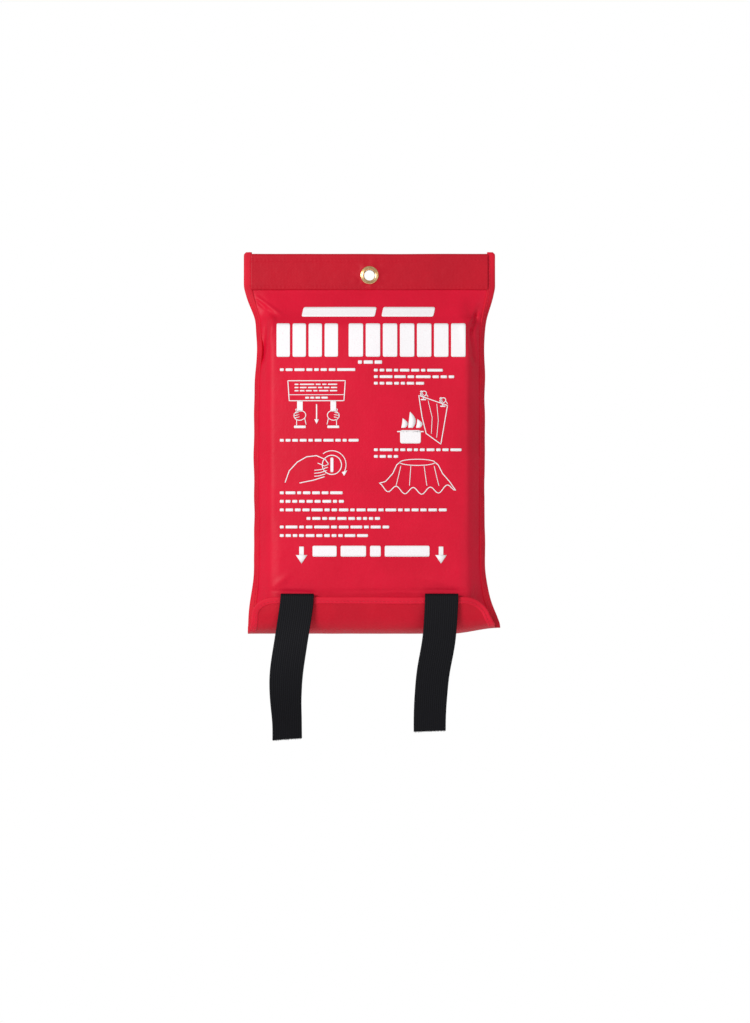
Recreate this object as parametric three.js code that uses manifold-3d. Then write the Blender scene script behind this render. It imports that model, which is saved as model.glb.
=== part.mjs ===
// A soft wall-hung fire blanket: a folded glass-cloth blanket in a sewn pouch, with two pull tabs.
// Millimetres. +Z is up, the pouch hangs on a wall in the plane y = 0 and its front faces -Y.
// The origin is the centre of the hanging eyelet, on the wall. "Forward" is the distance from the wall.

import * as THREE from 'three';
import { mergeVertices } from 'three/addons/utils/BufferGeometryUtils.js';
import Module from 'manifold-3d';

const wasm = await Module();
wasm.setup();

// ---- Driving dimensions -------------------------------------------------------------------------

const gap = 0.3; // left between layers that touch
const cloth = 0.7; // coated pouch fabric
const tapeCloth = 0.5; // binding tape
const thread = 0.5; // sewing thread

// Heights
const headerTop = 16;
const headerBottom = -11.5;
const panelTop = -8; // where the panels end, inside the header band
const shoulderTop = -13; // the front panel is flat against the back panel above this
const shoulderBottom = -34; // and at its full depth below this
const foldZ = -270; // bottom fold of the pouch, where the flap begins
const aboveFold = (height) => foldZ + height;

// Widths
const headerHalfWidth = 95;
const bodyHalfWidth = 87.5;
const bottomHalfWidth = 91;
const bindingWidth = 4.3;
const wallInset = 4.9; // from the outer edge of the binding to the foot of the front panel's side wall

// Depths, forward of the wall
const panelDepth = 21.4; // outer face of the front panel
const flangeRear = 2; // front panel's seam allowance, on the body
const headerStep = 2; // the back panel steps forward by this in the header
const bindingFront = 4; // rear of the binding's front leg
const cornerRadius = 6;

// Header band
const bandRear = 1;
const bandFront = 4.7;

// Eyelet
const eyeletBore = 4;
const eyeletBarrel = 4.8;
const eyeletFlange = 7;
const bandHole = 5.1;

// Folded blanket: runs of seven layers each, folded to and fro
const runThickness = 2.7;
const runPitch = runThickness + gap;
const packRear = 4.2;
const packHalfWidth = 78;
const packTop = aboveFold(236);
const rearRunEnd = aboveFold(48);
const middleFoldEnd = aboveFold(40);
const frontFoldEnd = aboveFold(30);

// Closure flap
const flapRoot = new THREE.Vector2(1.3, aboveFold(-0.5)); // the flap turns about this line
const flapBend = new THREE.Vector2(24.25, aboveFold(14));
const flapTop = aboveFold(29);
const flapCornerZ = aboveFold(19.2);
const flapHalfWidth = 88.5;
const flapRootHalfWidth = 92;
const flapCornerWidth = 14;
const flapCornerHeight = flapTop - flapCornerZ;
const flapFace = flapBend.x - cloth / 2; // rear face of the upright part
const flapFront = flapBend.x + cloth / 2;

// Hook-and-loop closure
const closureHalfWidth = 40;
const closureThickness = 0.8;

// Pull tabs
const webbingHalfWidth = 12.5;
const webbing = 1.05;
const tabInnerRear = panelDepth + 0.35; // rear face of the strap between the front panel and the flap
const tabOuterRear = 26.5; // rear face of the strap where it hangs
const bendZ = aboveFold(28.8); // the strap bends here over the flap
const swingZ = aboveFold(16.5); // and swings here
const tabLine = {
  left: [
    [-53.9, -240], [-54.6, -250], [-58.7, -274], [-62.8, -298], [-63.7, -316], [-62.8, -335], [-62.7, -351],
  ],
  right: [
    [54, -240], [53.7, -250], [51.9, -274], [47.7, -298], [45.9, -316], [45.1, -331], [45, -345],
  ],
};

// ---- Materials ----------------------------------------------------------------------------------

const material = (color, roughness, metalness = 0) =>
  new THREE.MeshStandardMaterial({ color, roughness, metalness });
const coatedFabric = material(0xcf2038, 0.5);
const tape = material(0xd42a42, 0.6);
const sewingThread = material(0xd8384c, 0.7);
const blackWebbing = material(0x1e1e22, 0.75);
const hookAndLoop = material(0x16161a, 0.95);
const glassCloth = material(0xe9e8e2, 0.85);
const brass = material(0xdcb47e, 0.3, 1);

// ---- Helpers ------------------------------------------------------------------------------------

const part = new THREE.Group();

function add(name, geometry, look) {
  const mesh = new THREE.Mesh(geometry, look);
  mesh.name = name;
  part.add(mesh);
}

const point = (x, forward, z) => new THREE.Vector3(x, -forward, z);

// A closed mesh needs its faces turned outwards, which its signed volume tells.
function facingOut(positions, triangles) {
  const [a, b, c] = [new THREE.Vector3(), new THREE.Vector3(), new THREE.Vector3()];
  let volume = 0;
  for (const [i, j, k] of triangles) {
    a.copy(positions[i]);
    b.copy(positions[j]);
    c.copy(positions[k]);
    volume += a.dot(b.cross(c));
  }
  const turned = volume < 0 ? triangles.map(([i, j, k]) => [i, k, j]) : triangles;
  const geometry = new THREE.BufferGeometry().setFromPoints(positions);
  geometry.setIndex(turned.flat());
  geometry.computeVertexNormals();
  return geometry;
}

// The triangles of a flat ring that has some width in x.
function capOf(ring) {
  const across = (p) => Math.hypot(p.y - ring[0].y, p.z - ring[0].z);
  const far = ring.reduce((best, p) => (across(p) > across(best) ? p : best));
  const v = new THREE.Vector3(0, far.y - ring[0].y, far.z - ring[0].z).normalize();
  const flat = ring.map((p) => new THREE.Vector2(p.x, p.dot(v)));
  return THREE.ShapeUtils.triangulateShape(flat, []);
}

// A solid through a stack of rings that all have the same number of points.
function loft(rings) {
  const count = rings[0].length;
  const triangles = [];
  for (let r = 0; r + 1 < rings.length; r++) {
    for (let i = 0; i < count; i++) {
      const next = (i + 1) % count;
      const [a, b] = [r * count + i, r * count + next];
      triangles.push([a, b, b + count], [a, b + count, a + count]);
    }
  }
  const last = (rings.length - 1) * count;
  const bottom = capOf(rings[0]);
  const top = capOf(rings[rings.length - 1]);
  // Both caps are turned to agree with the sides: each shares the edge 0-1 with a side triangle.
  const usesEdge = (cap, i, j) => cap.some(([a, b, c]) =>
    (a === i && b === j) || (b === i && c === j) || (c === i && a === j));
  const turn = (cap) => cap.map(([a, b, c]) => [a, c, b]);
  const lower = usesEdge(bottom, 0, 1) ? turn(bottom) : bottom;
  const upper = usesEdge(top, 0, 1) ? top : turn(top);
  triangles.push(...lower);
  triangles.push(...upper.map((t) => t.map((i) => i + last)));
  return facingOut(rings.flat(), triangles);
}

// A side profile, drawn as (forward, z), made into a solid from one x to another.
function acrossX(shape, fromX, toX, curveSegments = 8) {
  const geometry = new THREE.ExtrudeGeometry(shape, {
    depth: toX - fromX,
    bevelEnabled: false,
    curveSegments,
  });
  const turn = new THREE.Matrix4().makeBasis(
    new THREE.Vector3(0, -1, 0),
    new THREE.Vector3(0, 0, 1),
    new THREE.Vector3(-1, 0, 0),
  );
  return geometry.applyMatrix4(turn).translate(toX, 0, 0);
}

// A front outline, drawn as (x, z), made into a solid from one forward distance to another.
function forwardPlate(shape, fromForward, toForward, curveSegments = 12) {
  const geometry = new THREE.ExtrudeGeometry(shape, {
    depth: toForward - fromForward,
    bevelEnabled: false,
    curveSegments,
  });
  return geometry.rotateX(Math.PI / 2).translate(0, -fromForward, 0);
}

// A lathed ring whose axis runs forward through the origin; its profile is (radius, forward).
function forwardRing(profile, segments) {
  const points = profile.map(([radius, forward]) => new THREE.Vector2(radius, forward));
  points.push(points[0].clone());
  return new THREE.LatheGeometry(points, segments).rotateX(Math.PI);
}

function solid(geometry) {
  const bare = geometry.clone();
  bare.deleteAttribute('normal');
  bare.deleteAttribute('uv');
  const merged = mergeVertices(bare, 1e-4);
  return new wasm.Manifold(new wasm.Mesh({
    numProp: 3,
    vertProperties: new Float32Array(merged.attributes.position.array),
    triVerts: new Uint32Array(merged.index.array),
  }));
}

function geometryOf(manifold) {
  const mesh = manifold.getMesh();
  const geometry = new THREE.BufferGeometry();
  geometry.setAttribute('position', new THREE.BufferAttribute(mesh.vertProperties, 3));
  geometry.setIndex(new THREE.BufferAttribute(mesh.triVerts, 1));
  geometry.computeVertexNormals();
  return geometry;
}

function box(fromX, toX, fromForward, toForward, fromZ, toZ) {
  const geometry = new THREE.BoxGeometry(toX - fromX, toForward - fromForward, toZ - fromZ);
  return geometry.translate((fromX + toX) / 2, -(fromForward + toForward) / 2, (fromZ + toZ) / 2);
}

const { smoothstep } = THREE.MathUtils;

// ---- Pouch --------------------------------------------------------------------------------------

// Outer edge of the side seams: the packed body draws the sides in between the flat header and
// the bottom corners, most of all just under the shoulders.
function seamX(z) {
  const header = (headerHalfWidth - bodyHalfWidth) * smoothstep(z, -46, -14);
  const bottom = (bottomHalfWidth - bodyHalfWidth) * (1 - smoothstep(z, aboveFold(2), aboveFold(44)));
  const pinch = 1.2 * Math.exp(-(((z + 50) / 9) ** 2));
  return bodyHalfWidth + header + bottom - pinch;
}

const shoulder = (z) => smoothstep(z, shoulderBottom, shoulderTop);
const bodyStations = [18, 25, 35, 45, 90, 150, 205, 214, 220, 226, 230, 234, 238, 242, 246, 250, 254, 257];
const bodyHeights = [...bodyStations.map(aboveFold), panelTop];

// The back panel lies flat on the wall and steps forward into the header.
function backPanel() {
  const heights = [foldZ, aboveFold(10), ...bodyHeights];
  return loft(heights.map((z) => {
    const edge = seamX(z) - bindingWidth - gap;
    const rear = headerStep * smoothstep(z, -24, shoulderTop);
    const front = rear + cloth;
    return [point(-edge, rear, z), point(edge, rear, z), point(edge, front, z), point(-edge, front, z)];
  }));
}

// The front panel is a tray: seam allowance, side wall, round corner and front face.
function frontPanelRing(z, heightOf) {
  const edge = seamX(z) - tapeCloth - gap - 0.1;
  const foot = seamX(z) - wallInset;
  const wall = foot - 0.6;
  const rear = flangeRear + shoulder(z);
  const depth = panelDepth + (rear + cloth - panelDepth) * shoulder(z);
  const rise = (depth - rear - cloth) / (panelDepth - flangeRear - cloth);
  const corner = [0, 30, 60, 90].map(THREE.MathUtils.degToRad);
  const outer = [[edge, rear + cloth], [foot, rear + cloth]];
  const inner = [[edge, rear], [foot - cloth, rear]];
  const innerRadius = cornerRadius - cloth;
  for (const a of corner) {
    outer.push([
      wall - cornerRadius * (1 - Math.cos(a)),
      depth - rise * cornerRadius * (1 - Math.sin(a)),
    ]);
    inner.push([
      wall - cloth - innerRadius * (1 - Math.cos(a)),
      depth - cloth - rise * innerRadius * (1 - Math.sin(a)),
    ]);
  }
  const mirrored = (side) => side.map(([x, f]) => [-x, f]);
  const ring = [
    ...outer,
    ...mirrored(outer).reverse(),
    ...mirrored(inner),
    ...[...inner].reverse(),
  ];
  return ring.map(([x, f]) => point(x, f, heightOf(f)));
}

// Its lower edge is the mouth, cut on the slant so that it stays clear of the flap.
function frontPanel() {
  const slope = (flapBend.y - flapRoot.y) / (flapBend.x - flapRoot.x);
  const mouthZ = (forward) => aboveFold(1.6) + forward * slope;
  const bottom = frontPanelRing(aboveFold(2), mouthZ);
  return loft([bottom, ...bodyHeights.map((z) => frontPanelRing(z, () => z))]);
}

// A tape folded round the side seam, rear leg, edge and front leg.
function sideBinding(side) {
  const heights = [aboveFold(3.5), aboveFold(10), ...bodyHeights, headerTop + 0.7];
  const front = bindingFront + tapeCloth;
  return loft(heights.map((z) => {
    const outer = seamX(z);
    const inner = outer - bindingWidth;
    const web = outer - tapeCloth;
    return [
      [inner, 0], [outer, 0], [outer, front], [inner, front],
      [inner, bindingFront], [web, bindingFront], [web, tapeCloth], [inner, tapeCloth],
    ].map(([x, f]) => point(side * x, f, z));
  }));
}

function sideStitching(side) {
  const heights = [aboveFold(5), aboveFold(10), ...bodyHeights, headerTop - 1];
  const rear = bindingFront + tapeCloth + gap;
  return loft(heights.map((z) => {
    const outer = seamX(z) - 1.6;
    const inner = outer - thread;
    return [[inner, rear], [outer, rear], [outer, rear + thread], [inner, rear + thread]]
      .map(([x, f]) => point(side * x, f, z));
  }));
}

// The header band is one strip folded over the top of both panels, with a hole for the eyelet.
function headerBand() {
  const middle = (bandRear + bandFront) / 2;
  const outerRadius = (bandFront - bandRear) / 2;
  const innerRadius = outerRadius - cloth;
  const turnZ = headerTop - outerRadius;
  const shape = new THREE.Shape();
  shape.moveTo(bandRear, headerBottom);
  shape.lineTo(bandRear, turnZ);
  shape.absarc(middle, turnZ, outerRadius, Math.PI, 0, true);
  shape.lineTo(bandFront, headerBottom);
  shape.lineTo(bandFront - cloth, headerBottom);
  shape.lineTo(bandFront - cloth, turnZ);
  shape.absarc(middle, turnZ, innerRadius, 0, Math.PI, false);
  shape.lineTo(bandRear + cloth, headerBottom);
  const halfWidth = headerHalfWidth - bindingWidth - gap;
  const strip = solid(acrossX(shape, -halfWidth, halfWidth));
  const hole = new THREE.CylinderGeometry(bandHole, bandHole, 20, 40);
  return geometryOf(strip.subtract(solid(hole)));
}

// Eyelet with a rolled front flange and a barrel through the header.
function eyelet() {
  const flangeRear = bandFront + gap;
  return forwardRing([
    [eyeletBore, 0.1],
    [eyeletBarrel, 0.1],
    [eyeletBarrel, flangeRear],
    [eyeletFlange - 0.2, flangeRear],
    [eyeletFlange, flangeRear + 0.3],
    [eyeletFlange - 0.5, flangeRear + 0.8],
    [eyeletFlange - 1.3, flangeRear + 1.05],
    [eyeletBarrel + 0.1, flangeRear + 0.95],
    [eyeletBore + 0.3, flangeRear + 0.6],
    [eyeletBore, flangeRear + 0.1],
  ], 48);
}

function eyeletWasher() {
  const front = bandRear - gap;
  return forwardRing([
    [bandHole, 0],
    [eyeletFlange - 0.3, 0.1],
    [eyeletFlange, front],
    [bandHole, front],
  ], 48);
}

const stitchHalfWidth = headerHalfWidth - bindingWidth - 1.5;
const bandStitch = (z) =>
  box(-stitchHalfWidth, stitchHalfWidth, bandFront + gap, bandFront + gap + thread, z, z + thread);

add('back_panel', backPanel(), coatedFabric);
add('front_panel', frontPanel(), coatedFabric);
add('header_band', headerBand(), coatedFabric);
add('side_binding_left', sideBinding(-1), tape);
add('side_binding_right', sideBinding(1), tape);
add('side_stitching_left', sideStitching(-1), sewingThread);
add('side_stitching_right', sideStitching(1), sewingThread);
add('header_top_stitching', bandStitch(headerTop - 5), sewingThread);
add('header_seam_stitching', bandStitch(headerBottom + 2), sewingThread);
add('eyelet', eyelet(), brass);
add('eyelet_washer', eyeletWasher(), brass);

// Loop half of the closure, sewn to the front panel under the flap.
const loopRear = panelDepth + gap;
add(
  'loop_tape',
  box(
    -closureHalfWidth, closureHalfWidth,
    loopRear, loopRear + closureThickness,
    aboveFold(17), aboveFold(26),
  ),
  hookAndLoop,
);

// ---- Closure flap -------------------------------------------------------------------------------

// The flap's outline where it stands upright, grown or shrunk by a margin, down to a given height.
function flapOutline(margin, floorZ) {
  const halfWidth = flapHalfWidth + margin;
  const cornerX = flapHalfWidth - flapCornerWidth;
  const rx = flapCornerWidth + margin;
  const rz = flapCornerHeight + margin;
  const shape = new THREE.Shape();
  shape.moveTo(halfWidth, floorZ);
  shape.lineTo(-halfWidth, floorZ);
  shape.absellipse(-cornerX, flapCornerZ, rx, rz, Math.PI, Math.PI / 2, true);
  shape.absellipse(cornerX, flapCornerZ, rx, rz, Math.PI / 2, 0, true);
  return shape;
}

// The sheet leaves the bottom fold, slants forward under the blanket and turns up in front.
function closureFlap() {
  const line = new THREE.Path();
  const slant = flapBend.clone().sub(flapRoot).normalize();
  const bendStart = flapBend.clone().addScaledVector(slant, -3);
  line.moveTo(flapRoot.x, flapRoot.y);
  line.lineTo(bendStart.x, bendStart.y);
  line.quadraticCurveTo(flapBend.x, flapBend.y, flapBend.x, flapBend.y + 3);
  const centre = line.getPoints(5);
  const cornerSteps = [0, 20, 38, 54, 68, 80, 90].map(THREE.MathUtils.degToRad);
  for (const a of cornerSteps)
    centre.push(new THREE.Vector2(flapBend.x, flapCornerZ + flapCornerHeight * Math.sin(a)));
  const kept = centre.filter((p, i) => i === 0 || p.distanceTo(centre[i - 1]) > 0.05);
  return loft(kept.map((p, i) => {
    const before = kept[Math.max(i - 1, 0)];
    const after = kept[Math.min(i + 1, kept.length - 1)];
    const along = after.clone().sub(before).normalize();
    const half = new THREE.Vector2(-along.y, along.x).multiplyScalar(cloth / 2);
    const share = THREE.MathUtils.clamp((p.y - flapRoot.y) / (flapCornerZ - flapRoot.y), 0, 1);
    const straight = THREE.MathUtils.lerp(flapRootHalfWidth, flapHalfWidth, share);
    const up = Math.max(0, (p.y - flapCornerZ) / flapCornerHeight);
    const corner = flapCornerWidth * (1 - Math.sqrt(Math.max(0, 1 - up * up)));
    const x = straight - corner;
    return [
      point(-x, p.x + half.x, p.y + half.y),
      point(x, p.x + half.x, p.y + half.y),
      point(x, p.x - half.x, p.y - half.y),
      point(-x, p.x - half.x, p.y - half.y),
    ];
  }));
}

// Binding tape folded over the flap's free edge.
const flapBindingFloor = aboveFold(17.4);
const flapBindingFront = flapFront + gap + tapeCloth;
function flapBinding() {
  const margin = gap + tapeCloth;
  const below = flapBindingFloor - 5;
  const whole = forwardPlate(flapOutline(margin, flapBindingFloor), flapFace - margin, flapBindingFront);
  const slot = forwardPlate(flapOutline(gap, below), flapFace - gap, flapFront + gap);
  const middle = forwardPlate(flapOutline(-4, below), flapFace - 5, flapFront + 5);
  return geometryOf(solid(whole).subtract(solid(slot)).subtract(solid(middle)));
}

function flapStitching() {
  const rear = flapBindingFront + gap;
  const outer = forwardPlate(flapOutline(-2.2, flapBindingFloor + 1), rear, rear + thread);
  const inner = forwardPlate(flapOutline(-2.2 - thread, flapBindingFloor), rear - 1, rear + thread + 1);
  return geometryOf(solid(outer).subtract(solid(inner)));
}

add('closure_flap', closureFlap(), coatedFabric);
add('flap_binding', flapBinding(), tape);
add('flap_stitching', flapStitching(), sewingThread);

// Hook half of the closure, sewn to the inside of the flap.
const hookRear = flapFace - gap - closureThickness;
add(
  'hook_tape',
  box(
    -closureHalfWidth, closureHalfWidth,
    hookRear, hookRear + closureThickness,
    aboveFold(17.4), aboveFold(24.6),
  ),
  hookAndLoop,
);

// ---- Folded blanket -----------------------------------------------------------------------------

// One cloth folded to and fro in five runs. The rear runs end higher, clear of the opening flap.
function blanketCloth() {
  const rear = (run) => packRear + run * runPitch;
  const front = (run) => rear(run) + runThickness;
  const foldRadius = runThickness + gap / 2;
  const foldDepth = runThickness;
  const topTurn = packTop - foldRadius;
  const middleTurn = middleFoldEnd + foldRadius;
  const frontTurn = frontFoldEnd + foldRadius;
  const shape = new THREE.Shape();
  shape.moveTo(rear(0), rearRunEnd);
  shape.lineTo(rear(0), topTurn);
  shape.absarc(rear(0) + foldRadius, topTurn, foldRadius, Math.PI, 0, true);
  shape.lineTo(front(1), middleFoldEnd + foldDepth);
  shape.lineTo(rear(2), middleFoldEnd + foldDepth);
  shape.lineTo(rear(2), topTurn);
  shape.absarc(rear(2) + foldRadius, topTurn, foldRadius, Math.PI, 0, true);
  shape.lineTo(front(3), frontFoldEnd + foldDepth);
  shape.lineTo(rear(4), frontFoldEnd + foldDepth);
  shape.lineTo(rear(4), packTop - 1);
  shape.lineTo(front(4), packTop - 1);
  shape.lineTo(front(4), frontTurn);
  shape.absarc(rear(3) + foldRadius, frontTurn, foldRadius, 0, Math.PI, true);
  shape.lineTo(rear(3), packTop - foldDepth);
  shape.lineTo(front(2), packTop - foldDepth);
  shape.lineTo(front(2), middleTurn);
  shape.absarc(rear(1) + foldRadius, middleTurn, foldRadius, 0, Math.PI, true);
  shape.lineTo(rear(1), packTop - foldDepth);
  shape.lineTo(front(0), packTop - foldDepth);
  shape.lineTo(front(0), rearRunEnd);
  return acrossX(shape, -packHalfWidth, packHalfWidth);
}

add('blanket_cloth', blanketCloth(), glassCloth);

// ---- Pull tabs ----------------------------------------------------------------------------------

// Each tab is one strap. It is sewn to the blanket, comes out of the mouth, bends over the flap's
// upper edge and hangs down in front, so its solids are one for each stretch that moves apart.
const packFront = packRear + 4 * runPitch + runThickness;

function tabAnchor(centreX) {
  const rear = packFront + gap;
  return box(
    centreX - webbingHalfWidth,
    centreX + webbingHalfWidth,
    rear,
    rear + webbing,
    frontFoldEnd + 3,
    frontFoldEnd + 45,
  );
}

// The stretch from under the flap, up and over its edge.
function tabFold(centreX) {
  const outerFront = tabOuterRear + webbing;
  const middle = (tabInnerRear + outerFront) / 2;
  const outerRadius = middle - tabInnerRear;
  const innerRadius = outerRadius - webbing;
  const turnZ = flapTop + 0.8;
  const end = THREE.MathUtils.degToRad(14);
  const shape = new THREE.Shape();
  shape.moveTo(tabInnerRear, aboveFold(17.5));
  shape.lineTo(tabInnerRear, turnZ);
  shape.absarc(middle, turnZ, outerRadius, Math.PI, end, true);
  shape.lineTo(middle + innerRadius * Math.cos(end), turnZ + innerRadius * Math.sin(end));
  shape.absarc(middle, turnZ, innerRadius, end, Math.PI, false);
  shape.lineTo(tabInnerRear + webbing, aboveFold(17.5));
  return acrossX(shape, centreX - webbingHalfWidth, centreX + webbingHalfWidth, 10);
}

// A hanging stretch with a round upper end, which turns about its own centre.
function hangingStrap(line, pivotZ, endZ) {
  const curve = new THREE.CatmullRomCurve3(line.map(([x, z]) => new THREE.Vector3(x, 0, z)));
  const samples = curve.getPoints(120);
  const nearer = (z) => (best, p) => (Math.abs(p.z - z) < Math.abs(best.z - z) ? p : best);
  const centreAt = (z) => samples.reduce(nearer(z)).x;
  const middle = tabOuterRear + webbing / 2;
  const half = webbing / 2;
  const roundEnd = [75, 50, 25].map(THREE.MathUtils.degToRad);
  const stations = roundEnd.map((a) => [pivotZ + half * Math.sin(a), half * Math.cos(a)]);
  const steps = Math.max(2, Math.round((pivotZ - endZ) / 8));
  for (let i = 0; i <= steps; i++)
    stations.push([pivotZ + ((endZ - pivotZ) * i) / steps, half]);
  return loft(stations.map(([z, thickness]) => {
    const centre = centreAt(z);
    const [left, right] = [centre - webbingHalfWidth, centre + webbingHalfWidth];
    return [
      point(left, middle - thickness, z),
      point(right, middle - thickness, z),
      point(right, middle + thickness, z),
      point(left, middle + thickness, z),
    ];
  }));
}

for (const [side, line] of Object.entries(tabLine)) {
  const topX = line[0][0];
  const lowerEnd = line[line.length - 1][1];
  const bendEnd = swingZ + webbing / 2 + 0.35;
  add(`tab_${side}_anchor`, tabAnchor(topX), blackWebbing);
  add(`tab_${side}_fold`, tabFold(topX), blackWebbing);
  add(`tab_${side}_bend`, hangingStrap(line, bendZ, bendEnd), blackWebbing);
  add(`tab_${side}_strap`, hangingStrap(line, swingZ, lowerEnd), blackWebbing);
}

export default part;
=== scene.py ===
"""The looks of a soft wall-hung fire blanket, built around its CAD frame.

Shapes are worked out in millimetres as (x, forward, z): x to the right seen from the front,
forward out of the wall, z up from the eyelet. World space is metres with the front facing -Y.
"""
import math

import bmesh
import bpy
import numpy as np
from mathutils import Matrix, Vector, noise
from mathutils.bvhtree import BVHTree


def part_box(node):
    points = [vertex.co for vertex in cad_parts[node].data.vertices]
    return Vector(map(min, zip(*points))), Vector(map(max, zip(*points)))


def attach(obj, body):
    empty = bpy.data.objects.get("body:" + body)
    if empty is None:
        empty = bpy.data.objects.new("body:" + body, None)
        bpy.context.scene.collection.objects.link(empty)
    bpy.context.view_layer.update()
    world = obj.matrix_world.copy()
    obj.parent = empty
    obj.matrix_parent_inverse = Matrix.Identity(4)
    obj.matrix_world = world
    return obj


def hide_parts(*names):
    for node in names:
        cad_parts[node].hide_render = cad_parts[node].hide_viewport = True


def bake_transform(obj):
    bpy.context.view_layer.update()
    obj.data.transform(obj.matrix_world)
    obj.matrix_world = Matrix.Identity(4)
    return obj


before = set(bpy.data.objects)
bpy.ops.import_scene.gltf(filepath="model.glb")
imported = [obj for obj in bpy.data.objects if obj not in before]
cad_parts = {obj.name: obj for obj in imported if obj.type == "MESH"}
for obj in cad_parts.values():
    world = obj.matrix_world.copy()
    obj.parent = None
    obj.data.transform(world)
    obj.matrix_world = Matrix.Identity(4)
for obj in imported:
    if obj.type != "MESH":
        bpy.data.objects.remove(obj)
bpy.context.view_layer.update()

MM = 0.001
scene = bpy.context.scene


# ---- Sizes taken from the frame -----------------------------------------------------------------

def box_mm(node):
    """Lowest and highest x, forward and z of a CAD node, in millimetres."""
    low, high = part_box(node)
    return (
        np.array([low.x, -high.y, low.z]) / MM,
        np.array([high.x, -low.y, high.z]) / MM,
    )


HEADER_LOW, HEADER_HIGH = box_mm("header_band")
PACK_LOW, PACK_HIGH = box_mm("blanket_cloth")
WASHER_LOW, WASHER_HIGH = box_mm("eyelet_washer")
BINDING_HIGH = box_mm("side_binding_right")[1]
FLAP_HIGH = box_mm("closure_flap")[1]

FOLD_Z = box_mm("back_panel")[0][2]  # where the back panel turns up to become the flap
PANEL_FRONT = box_mm("front_panel")[1][1]
EYELET_FRONT = box_mm("eyelet")[1][1]
HALF_WIDTH = BINDING_HIGH[0]
BINDING_WIDTH = 6.0
SEAM_TOP_X = HALF_WIDTH - BINDING_WIDTH
HEADER_SEAM_Z = HEADER_LOW[2] + 2.5
HEADER_FRONT = HEADER_HIGH[1]
HEADER_MIDDLE = (HEADER_LOW[1] + HEADER_HIGH[1]) / 2
HEADER_HALF = (HEADER_HIGH[1] - HEADER_LOW[1]) / 2
SIDES = {"left": -1, "right": 1}
FABRIC_THICKNESS = 0.6
FLAP_THICKNESS = 0.7
CLOSURE_THICKNESS = 0.5
GLASS_THICKNESS = 0.26


# ---- Mesh helpers -------------------------------------------------------------------------------

def to_world(points):
    return np.asarray(points, float) * [MM, -MM, MM]


def smoothstep(value, low, high):
    t = np.clip((value - low) / (high - low), 0, 1)
    return t * t * (3 - 2 * t)


def wobble(x, y=0.0, seed=0.0):
    """Smooth repeatable noise from -1 to 1."""
    return noise.noise(Vector((x, y, seed)))


def make_piece(name, points, faces, material, weave=None):
    """A mesh object from points in millimetres. weave holds the cloth's own flat coordinates."""
    mesh = bpy.data.meshes.new(name)
    mesh.from_pydata([tuple(p) for p in to_world(points)], [], faces)
    mesh.materials.append(material)
    if weave is not None:
        attribute = mesh.attributes.new("weave", "FLOAT_VECTOR", "POINT")
        attribute.data.foreach_set("vector", np.asarray(weave, np.float32).ravel())
    mesh.shade_smooth()
    piece = bpy.data.objects.new(name, mesh)
    scene.collection.objects.link(piece)
    return piece


def grid_faces(rows, columns, closed=False, ring=False):
    """Quads over rows of points. closed joins the ends of each row, ring the last row to the first."""
    faces = []
    for r in range(rows if ring else rows - 1):
        step = ((r + 1) % rows - r) * columns
        for c in range(columns if closed else columns - 1):
            a, b = r * columns + c, r * columns + (c + 1) % columns
            faces.append((a + step, b + step, b, a))
    return faces


def end_faces(rows, columns):
    """The two flat ends of a tube made by grid_faces."""
    last = (rows - 1) * columns
    return [tuple(range(columns)), tuple(range(last, last + columns))[::-1]]


def smooth_faces(piece):
    """Smooth shading, with the edges of cut ends kept sharp."""
    piece.data.shade_smooth()
    piece.data.set_sharp_from_angle(angle=math.radians(50))


def face_out(work):
    """Makes the faces of a closed bmesh point out of it."""
    if work.calc_volume(signed=True) < 0:
        bmesh.ops.reverse_faces(work, faces=work.faces)


def turn_outward(piece):
    work = bmesh.new()
    work.from_mesh(piece.data)
    bmesh.ops.recalc_face_normals(work, faces=work.faces)
    face_out(work)
    work.to_mesh(piece.data)
    work.free()


def apply_modifiers(piece):
    graph = bpy.context.evaluated_depsgraph_get()
    evaluated = piece.evaluated_get(graph)
    mesh = bpy.data.meshes.new_from_object(evaluated, preserve_all_data_layers=True, depsgraph=graph)
    piece.modifiers.clear()
    piece.data = mesh
    return piece


def grid_sheet(name, grid, thickness, material, weave, smooth_levels=1, relief=None):
    """A sheet of cloth from a grid of points. relief(x, z) pushes the finer surface forward."""
    faces = grid_faces(*grid.shape[:2])
    piece = make_piece(name, grid.reshape(-1, 3), faces, material, weave.reshape(-1, 3))
    if smooth_levels:
        rounding = piece.modifiers.new("rounding", "SUBSURF")
        rounding.levels = smooth_levels
        apply_modifiers(piece)
    if relief is not None:
        for vertex in piece.data.vertices:
            vertex.co.y -= relief(vertex.co.x / MM, vertex.co.z / MM) * MM
    solid = piece.modifiers.new("thickness", "SOLIDIFY")
    solid.thickness = thickness * MM
    solid.offset = 0
    apply_modifiers(piece)
    piece.data.shade_smooth()
    return piece


def flat_weave(rows, columns, width, length):
    """Weave coordinates of a rectangle of cloth, spread evenly over its grid."""
    weave = np.zeros((rows, columns, 3))
    weave[..., 0] = np.linspace(0, width, columns)
    weave[..., 1] = np.linspace(0, length, rows)[:, None]
    return weave


def mirrored(upper, tip=()):
    """A tape's closed section from the (across, normal) points of its upper half."""
    return upper + list(tip) + [(across, -normal) for across, normal in reversed(upper)]


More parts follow.
